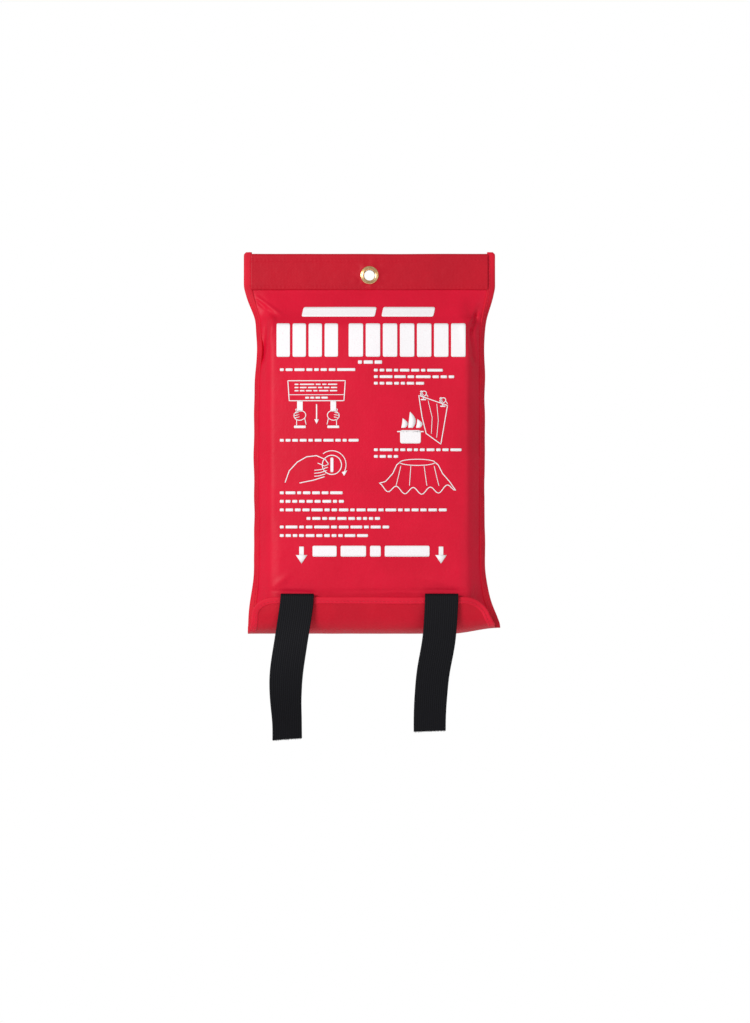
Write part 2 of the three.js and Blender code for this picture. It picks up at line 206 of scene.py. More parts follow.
def sweep(name, centres, across, normals, section, material):
    """A closed section of (across, normal) points swept along centres."""
    section = np.asarray(section, float)
    rows, count = len(centres), len(section)
    points = (
        centres[:, None, :]
        + across[:, None, :] * section[None, :, 0, None]
        + normals[:, None, :] * section[None, :, 1, None]
    ).reshape(-1, 3)
    faces = grid_faces(rows, count, closed=True) + end_faces(rows, count)
    weave = np.zeros((rows, count, 3))
    weave[..., 0] = section[:, 0]
    weave[..., 1] = arc_lengths(centres)[:, None]
    weave[..., 2] = section[:, 1]
    piece = make_piece(name, points, faces, material, weave.reshape(-1, 3))
    turn_outward(piece)
    smooth_faces(piece)
    return piece


def unit(vectors):
    length = np.linalg.norm(vectors, axis=-1, keepdims=True)
    return vectors / np.maximum(length, 1e-9)


def arc_lengths(points):
    """The length along a polyline at each of its points."""
    return np.concatenate([[0], np.cumsum(np.linalg.norm(np.diff(points, axis=0), axis=1))])


def interpolate(at, lengths, values):
    """Rows of values, known at some lengths, at other lengths."""
    return np.stack([np.interp(at, lengths, column) for column in values.T], axis=1)


def resample(points, step):
    """Points evenly spaced along a polyline, with the arc length of each."""
    points = np.asarray(points, float)
    lengths = arc_lengths(points)
    count = max(2, int(round(lengths[-1] / step)) + 1)
    at = np.linspace(0, lengths[-1], count)
    return interpolate(at, lengths, points), at


def blur_rows(values, passes):
    """Rounds values off along their rows. The first and last row stay."""
    for _ in range(passes):
        inner = (values[:-2] + 2 * values[1:-1] + values[2:]) / 4
        values = np.concatenate([values[:1], inner, values[-1:]])
    return values


def blur_grid(grid, row_passes, column_passes):
    """Rounds a grid of points off both ways."""
    return blur_rows(blur_rows(grid, row_passes).transpose(1, 0, 2), column_passes).transpose(1, 0, 2)


def oval(x, z, half_width, half_height, count):
    """(x, z) points round an oval."""
    turns = np.linspace(0, 2 * math.pi, count, endpoint=False)
    return [(x + half_width * math.cos(t), z + half_height * math.sin(t)) for t in turns]


# ---- Materials ----------------------------------------------------------------------------------

class Nodes:
    """A short way to write node trees."""

    def __init__(self, name):
        self.material = bpy.data.materials.new(name)
        self.material.use_nodes = True
        self.tree = self.material.node_tree
        self.shader = self.tree.nodes["Principled BSDF"]

    def add(self, kind, inputs=None, **settings):
        node = self.tree.nodes.new(kind)
        for key, value in settings.items():
            setattr(node, key, value)
        for key, value in (inputs or {}).items():
            self.put(node, key, value)
        return node

    def put(self, node, key, value):
        if isinstance(value, bpy.types.NodeSocket):
            self.tree.links.new(value, node.inputs[key])
        else:
            node.inputs[key].default_value = value

    def math(self, operation, a, b=0.0, c=0.0):
        node = self.add("ShaderNodeMath", operation=operation)
        for index, value in enumerate((a, b, c)):
            self.put(node, index, value)
        return node.outputs[0]

    def times(self, a, b):
        return self.math("MULTIPLY", a, b)

    def plus(self, a, factor, b):
        """a times factor, plus b."""
        return self.math("MULTIPLY_ADD", a, factor, b)

    def sine(self, value, rate):
        return self.math("SINE", self.times(value, rate))

    def weave(self):
        """The cloth's own flat coordinates, in millimetres."""
        return self.add("ShaderNodeAttribute", attribute_name="weave").outputs["Vector"]

    def place(self):
        return self.add("ShaderNodeTexCoord").outputs["Object"]

    def split(self, vector):
        return self.add("ShaderNodeSeparateXYZ", {0: vector}).outputs[:3]

    def noise(self, scale, detail=3.0, roughness=0.5):
        inputs = {"Vector": self.place(), "Scale": scale, "Detail": detail, "Roughness": roughness}
        return self.add("ShaderNodeTexNoise", inputs).outputs["Fac"]

    def ramp(self, value, low, high):
        """Maps value from low..high to 0..1, clamped."""
        node = self.add("ShaderNodeMapRange", {0: value, 1: low, 2: high, 3: 0.0, 4: 1.0})
        return node.outputs[0]

    def mix(self, factor, a, b):
        node = self.add("ShaderNodeMix", data_type="RGBA")
        self.put(node, 0, factor)
        self.put(node, 6, a)
        self.put(node, 7, b)
        return node.outputs[2]

    def bump(self, height, distance, strength=1.0, normal=None):
        inputs = {"Height": height, "Distance": distance, "Strength": strength}
        if normal is not None:
            inputs["Normal"] = normal
        return self.add("ShaderNodeBump", inputs).outputs["Normal"]

    def finish(self, **sockets):
        for key, value in sockets.items():
            self.put(self.shader, key.replace("_", " "), value)
        return self.material


def linear(red, green, blue):
    """A colour from 0..255 display values."""
    def one(value):
        value /= 255
        return value / 12.92 if value <= 0.04045 else ((value + 0.055) / 1.055) ** 2.4
    return (one(red), one(green), one(blue), 1.0)


def over_under(nodes, vector, pitch):
    """Height of a plain weave: threads of the two directions pass over and under by turns."""
    u, v, _ = nodes.split(vector)
    across, along = (nodes.sine(way, math.pi / pitch) for way in (u, v))
    threads = nodes.times(nodes.math("ABSOLUTE", across), nodes.math("ABSOLUTE", along))
    return nodes.plus(nodes.times(across, along), 0.5, threads)


FABRIC_PITCH = 1.1
GLASS_PITCH = 1.3
TAPE_RIB_PITCH = 0.8
WEBBING_RIB_PITCH = 1.56
WEBBING_FLOAT_PITCH = 1.5


def coated_fabric(name, colour, dark, roughness=0.46):
    """Plain-woven cloth under a thin matt coating, with soft creases and a little dust."""
    nodes = Nodes(name)
    weave = over_under(nodes, nodes.weave(), FABRIC_PITCH)
    patch = nodes.ramp(nodes.noise(28, 4, 0.55), 0.38, 0.66)
    fine = nodes.noise(900, 3, 0.6)
    creases = nodes.noise(95, 5, 0.62)
    tint = nodes.mix(nodes.times(patch, 0.35), colour, dark)
    dust = nodes.times(nodes.ramp(fine, 0.5, 0.85), 0.06)
    dusty = nodes.mix(dust, tint, linear(240, 90, 110))
    rough = nodes.plus(fine, 0.16, roughness - 0.08)
    normal = nodes.bump(weave, 0.00006, 0.55)
    normal = nodes.bump(creases, 0.0012, 0.35, normal)
    return nodes.finish(Base_Color=dusty, Roughness=rough, Normal=normal, Specular_IOR_Level=0.22)


def tape_fabric(name, colour, dark):
    """Binding tape: a fine grosgrain whose ribs run across it."""
    nodes = Nodes(name)
    ribs = nodes.sine(nodes.split(nodes.weave())[1], 2 * math.pi / TAPE_RIB_PITCH)
    fuzz = nodes.noise(1400, 3, 0.6)
    patch = nodes.ramp(nodes.noise(60, 3, 0.5), 0.35, 0.7)
    tint = nodes.mix(nodes.times(patch, 0.5), colour, dark)
    normal = nodes.bump(nodes.plus(fuzz, 0.6, ribs), 0.00005, 0.5)
    return nodes.finish(Base_Color=tint, Roughness=0.6, Normal=normal, Specular_IOR_Level=0.25)


def thread_fabric(name, colour, dark):
    nodes = Nodes(name)
    fuzz = nodes.noise(2600, 2, 0.5)
    tint = nodes.mix(nodes.times(fuzz, 0.5), colour, dark)
    normal = nodes.bump(fuzz, 0.00005, 0.6)
    return nodes.finish(Base_Color=tint, Roughness=0.55, Normal=normal, Specular_IOR_Level=0.3)


def webbing_fabric(name):
    """Black polyester webbing: ribs along it, each a row of slanted yarn floats."""
    nodes = Nodes(name)
    u, v, _ = nodes.split(nodes.weave())
    rib = nodes.math("ABSOLUTE", nodes.sine(u, math.pi / WEBBING_RIB_PITCH))
    which = nodes.math("FLOOR", nodes.math("DIVIDE", u, WEBBING_RIB_PITCH))
    flip = nodes.plus(nodes.math("FLOORED_MODULO", which, 2.0), 2.0, -1.0)
    slant = nodes.plus(nodes.times(u, 0.9), flip, v)
    floats = nodes.math("ABSOLUTE", nodes.sine(slant, math.pi / WEBBING_FLOAT_PITCH))
    height = nodes.times(rib, nodes.plus(floats, 0.6, 0.4))
    fuzz = nodes.noise(1800, 3, 0.65)
    # Painted shade: the weave's hollows are coloured darker and its raised floats lighter; the same share
    # also sets the roughness.
    tone = nodes.ramp(height, 0.1, 0.95)
    tint = nodes.mix(tone, linear(4, 4, 6), linear(20, 20, 25))
    tint = nodes.mix(nodes.times(fuzz, 0.14), tint, linear(36, 36, 42))
    normal = nodes.bump(height, 0.00022, 0.8)
    normal = nodes.bump(fuzz, 0.00008, 0.3, normal)
    rough = nodes.plus(tone, -0.18, 0.72)
    return nodes.finish(Base_Color=tint, Roughness=rough, Normal=normal, Specular_IOR_Level=0.14)


def glass_cloth(name):
    nodes = Nodes(name)
    weave = over_under(nodes, nodes.weave(), GLASS_PITCH)
    # Painted shade: the hollows between the threads are coloured darker than the threads' crowns.
    tint = nodes.mix(nodes.ramp(weave, -0.4, 1.2), linear(206, 203, 192), linear(240, 238, 230))
    tint = nodes.mix(nodes.times(nodes.noise(40, 4, 0.5), 0.25), tint, linear(222, 214, 196))
    normal = nodes.bump(weave, 0.00012, 0.8)
    return nodes.finish(Base_Color=tint, Roughness=0.62, Normal=normal, Sheen_Weight=0.3)


def hook_and_loop(name, fuzz_scale, fuzz_height):
    nodes = Nodes(name)
    fuzz = nodes.noise(fuzz_scale, 5, 0.75)
    tint = nodes.mix(fuzz, linear(10, 10, 12), linear(48, 48, 54))
    normal = nodes.bump(fuzz, fuzz_height, 1.0)
    return nodes.finish(Base_Color=tint, Roughness=0.9, Normal=normal, Sheen_Weight=0.5)


def brass(name):
    nodes = Nodes(name)
    tarnish = nodes.noise(240, 4, 0.6)
    tint = nodes.mix(nodes.ramp(tarnish, 0.4, 0.75), linear(250, 214, 160), linear(214, 160, 104))
    rough = nodes.plus(tarnish, 0.18, 0.14)
    normal = nodes.bump(nodes.noise(2200, 2, 0.5), 0.00002, 0.4)
    return nodes.finish(Base_Color=tint, Metallic=1.0, Roughness=rough, Normal=normal)


def print_ink(name):
    """White screen ink: thin enough for the cloth under it to show as a faint weave."""
    nodes = Nodes(name)
    x, _, z = nodes.split(nodes.place())
    flat = {0: nodes.times(x, 1 / MM), 1: nodes.times(z, 1 / MM)}
    cloth = nodes.add("ShaderNodeCombineXYZ", flat).outputs[0]
    weave = over_under(nodes, cloth, FABRIC_PITCH)
    wear = nodes.ramp(nodes.plus(weave, -0.12, nodes.noise(700, 3, 0.6)), 0.5, 0.78)
    tint = nodes.mix(nodes.times(wear, 0.25), linear(252, 249, 251), linear(240, 180, 188))
    normal = nodes.bump(weave, 0.00004, 0.5)
    return nodes.finish(Base_Color=tint, Roughness=0.5, Normal=normal)


RED_FABRIC = coated_fabric("red_coated_fabric", linear(222, 14, 52), linear(196, 10, 38))
HEADER_FABRIC = coated_fabric("red_header_fabric", linear(196, 12, 38), linear(172, 9, 33), 0.5)
# A darker copy of the panel cloth for the flap, which is the back panel turned up: painted shade.
FLAP_FABRIC_PAINTED_SHADE = coated_fabric("red_flap_fabric_painted_shade", linear(204, 11, 40), linear(176, 9, 36), 0.48)
TAPE = tape_fabric("red_binding_tape", linear(220, 14, 46), linear(188, 10, 38))
# A lighter copy of the binding tape for the flap's edge: a painted highlight along that edge.
TAPE_PAINTED_HIGHLIGHT = tape_fabric("binding_tape_painted_highlight", linear(226, 18, 52), linear(204, 12, 42))
THREAD = thread_fabric("red_sewing_thread", linear(232, 34, 62), linear(150, 20, 42))
BLACK_THREAD = thread_fabric("black_sewing_thread", linear(58, 58, 64), linear(24, 24, 28))
WEBBING = webbing_fabric("black_webbing")
GLASS = glass_cloth("woven_glass_cloth")
LOOPS = hook_and_loop("closure_loops", 1600, 0.0006)
HOOKS = hook_and_loop("closure_hooks", 900, 0.0004)
BRASS = brass("brass")
INK = print_ink("white_print_ink")


# ---- Stitches -----------------------------------------------------------------------------------

STITCH_LENGTH = 2.3
STITCH_PITCH = 3.0
STITCH_RADIUS = 0.27
STITCH_SIDES = 6
STITCH_PROFILE = [(-0.42, 0.7), (-0.2, 1.0), (0.2, 1.0), (0.42, 0.7)]  # share of length, of radius
STITCH_FLATNESS = 0.8
STITCH_END_SINK = 0.2


def one_stitch(points, faces, centre, along, up):
    """Adds a stitch: a rounded thread whose two ends sink into the cloth."""
    side = np.cross(along, up)
    base = len(points)
    for reach, radius in STITCH_PROFILE:
        ring = centre + along * reach * STITCH_LENGTH
        sink = 0.35 * STITCH_RADIUS * (2 * abs(reach)) ** 2
        for k in range(STITCH_SIDES):
            angle = 2 * math.pi * k / STITCH_SIDES
            offset = side * math.cos(angle) + up * (math.sin(angle) * STITCH_FLATNESS)
            points.append(ring + offset * radius * STITCH_RADIUS - up * sink)
    rings = len(STITCH_PROFILE)
    tube = grid_faces(rings, STITCH_SIDES, closed=True)
    faces += [tuple(base + corner for corner in face) for face in tube]
    tip, top = len(points), base + (rings - 1) * STITCH_SIDES
    for end in (-0.5, 0.5):
        points.append(centre + along * end * STITCH_LENGTH - up * STITCH_END_SINK)
    for k in range(STITCH_SIDES):
        beside = (k + 1) % STITCH_SIDES
        faces += [(tip, base + k, base + beside), (tip + 1, top + beside, top + k)]


def stitch_row(name, rows, material):
    """Separate stitches along paths. rows is a list of (points, normals) on the cloth's face."""
    points, faces = [], []
    for path, normals in rows:
        spots, at = resample(path, STITCH_PITCH)
        ups = unit(interpolate(at, arc_lengths(path), normals))
        alongs = unit(np.gradient(spots, axis=0))
        for index in range(len(spots) - 1):
            centre = (spots[index] + spots[index + 1]) / 2
            one_stitch(points, faces, centre, alongs[index], ups[index])
    piece = make_piece(name, np.array(points), faces, material)
    turn_outward(piece)
    piece.data.shade_smooth()
    return piece


# ---- Pouch: the two panels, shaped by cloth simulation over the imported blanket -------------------

SEAM_FLAT_X = SEAM_TOP_X  # half of each panel's flat width, between the side seams
PANEL_COLUMNS = 54
PANEL_ROWS = 84
BACK_COLUMNS = 36
HEM_Z = FOLD_Z + 15.0
HEM_FORWARD = PANEL_FRONT - 0.6
HEM_HALF_FLAT = 77.5  # half of the hem's straight stretch, in front of the pack
SLEEVE_END_Z = FOLD_Z + 2.5
SEAM_FORWARD = 3.0  # where the side seams leave the header and reach the lower corners
PINCH_Z = -52.0  # the body is drawn in a little just below its shoulders
EASE_DOWN = 0.012  # spare length and width of the cloth over the shape it is sewn to
EASE_ACROSS = 0.004
CORNER_SHARE = 0.85  # share of the panel's width that lies in front of the pack


def hem_point(s):
    """The front panel's lower edge, from the centre (s = 0) round to the side seam (s = 1)."""
    if abs(s) <= CORNER_SHARE:
        return np.array([s / CORNER_SHARE * HEM_HALF_FLAT, HEM_FORWARD, HEM_Z])
    t = (abs(s) - CORNER_SHARE) / (1 - CORNER_SHARE)
    x = HEM_HALF_FLAT + (SEAM_TOP_X - 1.0 - HEM_HALF_FLAT) * math.sin(t * math.pi / 2)
    forward = HEM_FORWARD - (HEM_FORWARD - 3.2) * (1 - math.cos(t * math.pi / 2))
    z = HEM_Z - (HEM_Z - SLEEVE_END_Z) * t
    return np.array([math.copysign(x, s), forward, z])


def column_share(c):
    """Whether a column of the sleeve is on the front, and its place from -1, left, to 1, right."""
    if c <= PANEL_COLUMNS:
        return True, -1 + 2 * c / PANEL_COLUMNS
    return False, 1 - 2 * (c - PANEL_COLUMNS) / BACK_COLUMNS


def boxy(s):
    """1 over most of the width, falling steeply to 0 at the side seams."""
    return math.sqrt(max(0.0, 1 - abs(s) ** 12))


def pouch_start():
    """The closed sleeve before it settles: rows run down, columns run across the front and back."""
    rows, cols = PANEL_ROWS, PANEL_COLUMNS + BACK_COLUMNS
    top = HEADER_SEAM_Z
    middle = (PACK_LOW[1] + PACK_HIGH[1]) / 2 + 0.2
    half_depth, header_back, mouth_back = 11.4, 2.3, 0.6
    start = np.zeros((rows, cols, 3))
    flat = np.zeros((rows, cols, 3))
    for r in range(rows):
        t = r / (rows - 1)
        z = top + (SLEEVE_END_Z - top) * t
        full = smoothstep(top - z, 2, 30)
        low = smoothstep(z - FOLD_Z, 2, 46)
        pinch = 1.9 * math.exp(-(((z - PINCH_Z) / 11) ** 2))
        seam_x = SEAM_FLAT_X - (5.2 * smoothstep(top - z, 2, 38) + pinch) * low - 3.0 * (1 - low)
        seam_forward = SEAM_FORWARD + (middle - SEAM_FORWARD - 3.0) * full * low
        for c in range(cols):
            front, s = column_share(c)
            x = s * seam_x
            if front:
                forward = seam_forward + (middle + half_depth - seam_forward) * full * boxy(s)
                point = np.array([x, max(forward, 3.4), z])
                if low < 1:
                    hem = hem_point(s)
                    point = point * low + hem * (1 - low)
                    point[2] = z + (hem[2] - SLEEVE_END_Z) * (1 - low)
            else:
                back = seam_forward + (0.7 - seam_forward) * boxy(s)
                forward = header_back * (1 - full) + back * full
                if low < 1:
                    forward = forward * low + (1 - low) * (mouth_back + 2.4 * abs(s) ** 12)
                point = np.array([x, forward, z])
            start[r, c] = point
            flat[r, c, 0] = s * SEAM_FLAT_X * (1 + EASE_ACROSS)
    front_columns, back_columns = slice(0, PANEL_COLUMNS + 1), slice(PANEL_COLUMNS + 1, None)
    centres = ((front_columns, PANEL_COLUMNS // 2), (back_columns, PANEL_COLUMNS + BACK_COLUMNS // 2))
    for span, column in centres:
        down = arc_lengths(start[:, column]) * (1 + EASE_DOWN)
        flat[:, span, 2] = top - down[:, None]
    return start, flat


def rest_cut(flat):
    """The cut shape the cloth wants to return to: both panels flat, a little apart."""
    cut = flat.copy()
    for c in range(flat.shape[1]):
        front, s = column_share(c)
        bulge = 0.5 * boxy(s)
        cut[:, c, 1] = SEAM_FORWARD + (bulge if front else -bulge)
    return cut


SIM = 0.01  # the simulation runs at ten times life size, where the solver's smallest gaps are fine


def to_sim(points):
    return np.asarray(points, float) * [SIM, -SIM, SIM]


def collider(name, low, high, round_by):
    """A rounded box that the cloth rests on. It is removed after the simulation."""
    work = bmesh.new()
    bmesh.ops.create_cube(work, size=1.0)
    size = np.asarray(high, float) - np.asarray(low, float)
    centre = (np.asarray(high, float) + np.asarray(low, float)) / 2
    for vert in work.verts:
        vert.co = Vector(to_sim(centre + np.array(vert.co) * size))
    if round_by:
        bmesh.ops.bevel(work, geom=work.edges[:], offset=round_by * SIM, segments=6,
                        affect="EDGES", profile=0.5)
    face_out(work)
    mesh = bpy.data.meshes.new(name)
    work.to_mesh(mesh)
    work.free()
    thing = bpy.data.objects.new(name, mesh)
    scene.collection.objects.link(thing)
    thing.modifiers.new("collision", "COLLISION")
    thing.collision.thickness_outer = 0.25 * SIM
    thing.collision.thickness_inner = 2 * SIM
    thing.collision.cloth_friction = 3
    return thing


SETTLE_FRAMES = 46
SEAM_HOLD = 0.9  # how much the bound side seams keep to their line, against 1 for a fixed point
CLOTH = dict(
    quality=8, mass=0.3,
    tension_stiffness=30, compression_stiffness=20, shear_stiffness=10, bending_stiffness=1.5,
    tension_damping=8, compression_damping=8, shear_damping=8, bending_damping=1.0, air_damping=3,
    use_pressure=True, uniform_pressure_force=0.32, pin_stiffness=4,
)


def settle_sleeve(start, flat):
    """Blender's cloth solver lets the sleeve find its shape over the pack and against the wall."""
    rows, cols = start.shape[:2]
    mesh = bpy.data.meshes.new("sleeve")
    faces = grid_faces(rows, cols, closed=True)
    mesh.from_pydata([tuple(p) for p in to_sim(start.reshape(-1, 3))], [], faces)
    sleeve = bpy.data.objects.new("sleeve", mesh)
    scene.collection.objects.link(sleeve)
    sleeve.shape_key_add(name="Basis")
    cut = sleeve.shape_key_add(name="cut")
    cut.data.foreach_set("co", to_sim(rest_cut(flat)).ravel())
    held = sleeve.vertex_groups.new(name="held")
    last = rows - 1
    pinned = [r * cols + c for r in (0, 1) for c in range(cols)]
    pinned += [last * cols + c for c in range(cols)]
    held.add(pinned, 1.0, "REPLACE")
    seams = [r * cols + c for r in range(2, last) for c in (0, PANEL_COLUMNS)]
    held.add(seams, SEAM_HOLD, "REPLACE")

    modifier = sleeve.modifiers.new("cloth", "CLOTH")
    cloth = modifier.settings
    for key, value in CLOTH.items():
        setattr(cloth, key, value)
    cloth.vertex_group_mass = "held"
    cloth.rest_shape_key = sleeve.data.shape_keys.key_blocks["cut"]
    cloth.effector_weights.gravity = 0
    modifier.collision_settings.distance_min = 0.5 * SIM
    modifier.collision_settings.collision_quality = 4
    modifier.point_cache.frame_start = 1
    modifier.point_cache.frame_end = SETTLE_FRAMES

    pack = collider("pack_collider", PACK_LOW + [5, 0, 2], PACK_HIGH + [-5, -0.3, -7], 7)
    wall = collider("wall_collider", [-160, -24, -330], [160, -0.5, 60], 0)
    for number in range(1, SETTLE_FRAMES + 1):
        scene.frame_set(number)
    graph = bpy.context.evaluated_depsgraph_get()
    result = sleeve.evaluated_get(graph).to_mesh()
    settled = np.zeros(len(result.vertices) * 3)
    result.vertices.foreach_get("co", settled)
    settled = settled.reshape(rows, cols, 3) / [SIM, -SIM, SIM]
    for thing in (sleeve, pack, wall):
        bpy.data.objects.remove(thing, do_unlink=True)
    scene.frame_set(1)
    return settled


# Creases of the front panel: (x, z) from, (x, z) to, height in millimetres, half width.
CREASES = [
    ((-89, -14), (-67, -30), 1.1, 1.3),
    ((-86, -18), (-70, -33), -0.9, 1.6),
    ((-77, -36), (-80, -66), -3.4, 2.2),
    ((-72, -30), (-76, -52), 0.8, 2.2),
    ((81, -29), (76, -44), -3.2, 1.7),
    ((76, -42), (79, -66), -3.4, 2.0),
    ((84, -30), (74, -36), 1.2, 1.4),
    ((70, -34), (73, -58), 0.8, 2.4),
    ((-86, -237), (-40, -239), -0.5, 1.6),
    ((-30, -238), (84, -237), -0.5, 1.6),
    ((40, -228), (86, -240), 0.7, 3.0),
    ((-60, -226), (-84, -244), 0.7, 2.6),
]


def front_relief(x, z):
    """Creases, and the broad unevenness of cloth over a folded pack."""
    relief = 0.45 * wobble(x / 46, z / 60, 61) + 0.16 * wobble(x / 14, z / 19, 63)
    for (x0, z0), (x1, z1), height, half in CREASES:
        length = math.hypot(x1 - x0, z1 - z0)
        along = ((x - x0) * (x1 - x0) + (z - z0) * (z1 - z0)) / length**2
        if -0.3 < along < 1.3:
            off = ((x - x0) * (z1 - z0) - (z - z0) * (x1 - x0)) / length
            fade = math.exp(-((max(0.0, abs(along - 0.5) - 0.3) / 0.22) ** 2))
            relief += height * fade * math.exp(-((off / half) ** 2))
    keep = smoothstep(HEADER_SEAM_Z - z, 2, 10) * smoothstep(SEAM_FLAT_X - 1 - abs(x), 0, 5)
    if relief > 0:
        return relief * keep * smoothstep(z - HEM_Z, 12, 26)
    return relief * keep * smoothstep(z - HEM_Z, 6, 20)


def seam_lean(side, z):
    """How far the bound edge leans back towards the wall, in radians."""
    body = smoothstep(HEADER_SEAM_Z - z, 0, 26)
    low = smoothstep(z - FOLD_Z, 8, 52)
    lean = 4 + 46 * body * low + 8 * (1 - low) + 9 * wobble(z / 21, side * 3.0, 5) * body
    return math.radians(lean)


def seam_axes(side, heights):
    """The way a bound edge points at each height, and the way its front face looks."""
    lean = np.array([seam_lean(side, z) for z in heights])
    level = np.zeros(len(lean))
    outward = np.stack([side * np.cos(lean), -np.sin(lean), level], axis=1)
    return outward, np.stack([side * np.sin(lean), np.cos(lean), level], axis=1)


NARROWEST_SEAM = 80.0
SEAM_SHIFT = 1.2  # the body hangs a little askew where it is drawn in
SEAM_ALLOWANCE = 2.5
# How far the lower corners of the body are drawn aside, forward and up.
EARS = {-1: np.array([2.0, 0.0, -0.6]), 1: np.array([5.0, 0.0, 3.4])}


def even_out_seams(sleeve):
    """Makes both side seams smooth, as their tape holds them, and draws the lower corners aside."""
    columns = sleeve.shape[1]
    for side, column in ((-1, 0), (1, PANEL_COLUMNS)):
        seam = blur_rows(sleeve[:, column], 10)
        seam[:, 0] = side * np.maximum(np.abs(seam[:, 0]), NARROWEST_SEAM)
        seam[:, 0] += SEAM_SHIFT * np.exp(-(((seam[:, 2] - PINCH_Z) / 26) ** 2))
        shift = seam - sleeve[:, column]
        for step in range(-4, 5):
            share = 1 - abs(step) / 5
            sleeve[:, (column + step) % columns] += shift * share
        ear = EARS[side] * (1 - smoothstep(seam[:, 2] - FOLD_Z, 3, 26))[:, None]
        for step in range(-8, 9):
            share = smoothstep(1 - abs(step) / 8, 0, 1)
            sleeve[:, (column + step) % columns] += ear * share
    return sleeve


def with_seam_allowance(grid):
    """Adds the strip of cloth that is sewn inside the tape at each side."""
    sides = []
    for side, column in ((-1, 0), (1, -1)):
        edge = grid[:, column]
        outward, _ = seam_axes(side, edge[:, 2])
        sides.append(edge + outward * SEAM_ALLOWANCE)
    return np.concatenate([sides[0][:, None], grid, sides[1][:, None]], axis=1)


SETTLED_DEPTH = 0.7  # the pack gives way under the cloth, so the front lies lower than it was blown
CROWN = 1.9  # how much the middle of the front stands out beyond its sides
SIDE_FALL = 1.5  # how much it falls away again over the pack's own edges
PACK_ROOM = 1.3  # from the front of the pack to the middle of the cloth over it
SEWN_END_ROOM = 1.1  # what the sewn ends of the tabs need on top of that
WALL_ROOM = 0.45
PACK_CORNER_X = 71  # beyond this the pack's rounded edge leaves the cloth room to fall
PACK_TOP_Z = -42


def soft_max(a, b, blend):
    """The larger of two values, with the change from one to the other rounded off."""
    return (a + b + np.sqrt((a - b) ** 2 + blend**2)) / 2


def clear_of_pack(x, z):
    """How far forward the cloth has to lie to clear the pack and the sewn ends of the tabs."""
    clear = PACK_HIGH[1] + PACK_ROOM - 0.1 * np.clip(abs(x) - PACK_CORNER_X, 0, None) ** 2
    clear = clear + SEWN_END_ROOM * smoothstep(-z, 178, 196) * smoothstep(73 - abs(x), 0, 6)
    return clear - 0.06 * np.clip(z - PACK_TOP_Z, 0, None) ** 2


def clear_of_flap(z):
    """How far forward the cloth may lie. By the mouth it is held in by the closure tape."""
    return PANEL_FRONT - 0.5 + 8 * smoothstep(z - FOLD_Z, 30, 40)


def ease_front(sleeve):
    """Lets the front down onto the soft pack, with its ridges rounded off and its creases kept."""
    front = sleeve[:, : PANEL_COLUMNS + 1]
    soft = blur_grid(front, 22, 6)
    soft = soft + 0.3 * (front - soft)
    seam = (soft[:, :1, 1] + soft[:, -1:, 1]) / 2
    share = SETTLED_DEPTH + (1 - SETTLED_DEPTH) * smoothstep(np.arange(len(soft)), 74, 82)[:, None]
    soft[..., 1] = seam + (soft[..., 1] - seam) * share
    x, z = soft[..., 0], soft[..., 2]
    inside = smoothstep(HEADER_SEAM_Z - z, 12, 60) * smoothstep(z - FOLD_Z, 32, 80)
    swell = CROWN * np.clip(1 - (x / 80) ** 2, 0, 1) - SIDE_FALL * smoothstep(abs(x), 38, 74)
    over_pack = soft_max(soft[..., 1] + swell * inside, clear_of_pack(x, z), 0.8)
    soft[..., 1] = -soft_max(-over_pack, -clear_of_flap(z), 0.3)
    sleeve[:, : PANEL_COLUMNS + 1] = soft
    return sleeve


def ease_back(sleeve):
    """The back lies against the wall, and its ridges are rounded off too."""
    back = np.concatenate([sleeve[:, PANEL_COLUMNS:], sleeve[:, :1]], axis=1)
    soft = blur_grid(back, 8, 4)
    soft = soft + 0.35 * (back - soft)
    room = PACK_LOW[1] - 0.7 + 0.35 * np.clip(abs(soft[..., 0]) - 73, 0, None) ** 2
    soft[..., 1] = np.maximum(-soft_max(-soft[..., 1], -room, 0.3), WALL_ROOM)
    sleeve[:, PANEL_COLUMNS:] = soft[:, :-1]
    return sleeve


start, flat = pouch_start()
sleeve = settle_sleeve(start, flat)
sleeve = even_out_seams(sleeve)
sleeve = ease_back(ease_front(sleeve))
front_grid = with_seam_allowance(sleeve[:, : PANEL_COLUMNS + 1])
back_grid = np.concatenate([sleeve[:, PANEL_COLUMNS:], sleeve[:, :1]], axis=1)[:, ::-1]
back_grid = with_seam_allowance(back_grid)[:, ::-1]

front_weave, back_weave = (
    flat_weave(PANEL_ROWS, columns + 3, 2 * SEAM_FLAT_X, HEADER_SEAM_Z - FOLD_Z)
    for columns in (PANEL_COLUMNS, BACK_COLUMNS)
)
front_panel = grid_sheet(
    "front_panel_cloth", front_grid, FABRIC_THICKNESS, RED_FABRIC, front_weave,
    smooth_levels=2, relief=front_relief,
)
back_panel = grid_sheet("back_panel_cloth", back_grid, FABRIC_THICKNESS, RED_FABRIC, back_weave)
for piece, node in ((front_panel, "front_panel"), (back_panel, "back_panel")):
    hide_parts(node)
    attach(piece, "pouch")


# ---- Side bindings: tape folded over each side seam, from above the header to the bottom corner --

TAPE_SECTION = mirrored(
    [(-0.1, 0.72), (0.15, 0.98), (1.2, 1.04), (2.0, 0.92), (3.2, 1.08), (4.8, 1.02), (5.5, 0.84),
     (5.9, 0.45)],
    [(BINDING_WIDTH, 0.0)],
)
TAPE_FACE = 1.06  # from the middle of the tape to its face under the stitches
STITCH_FROM_EDGE = 2.0
TAPE_CORNER = 2.4  # radius of the outer corner at the upper end


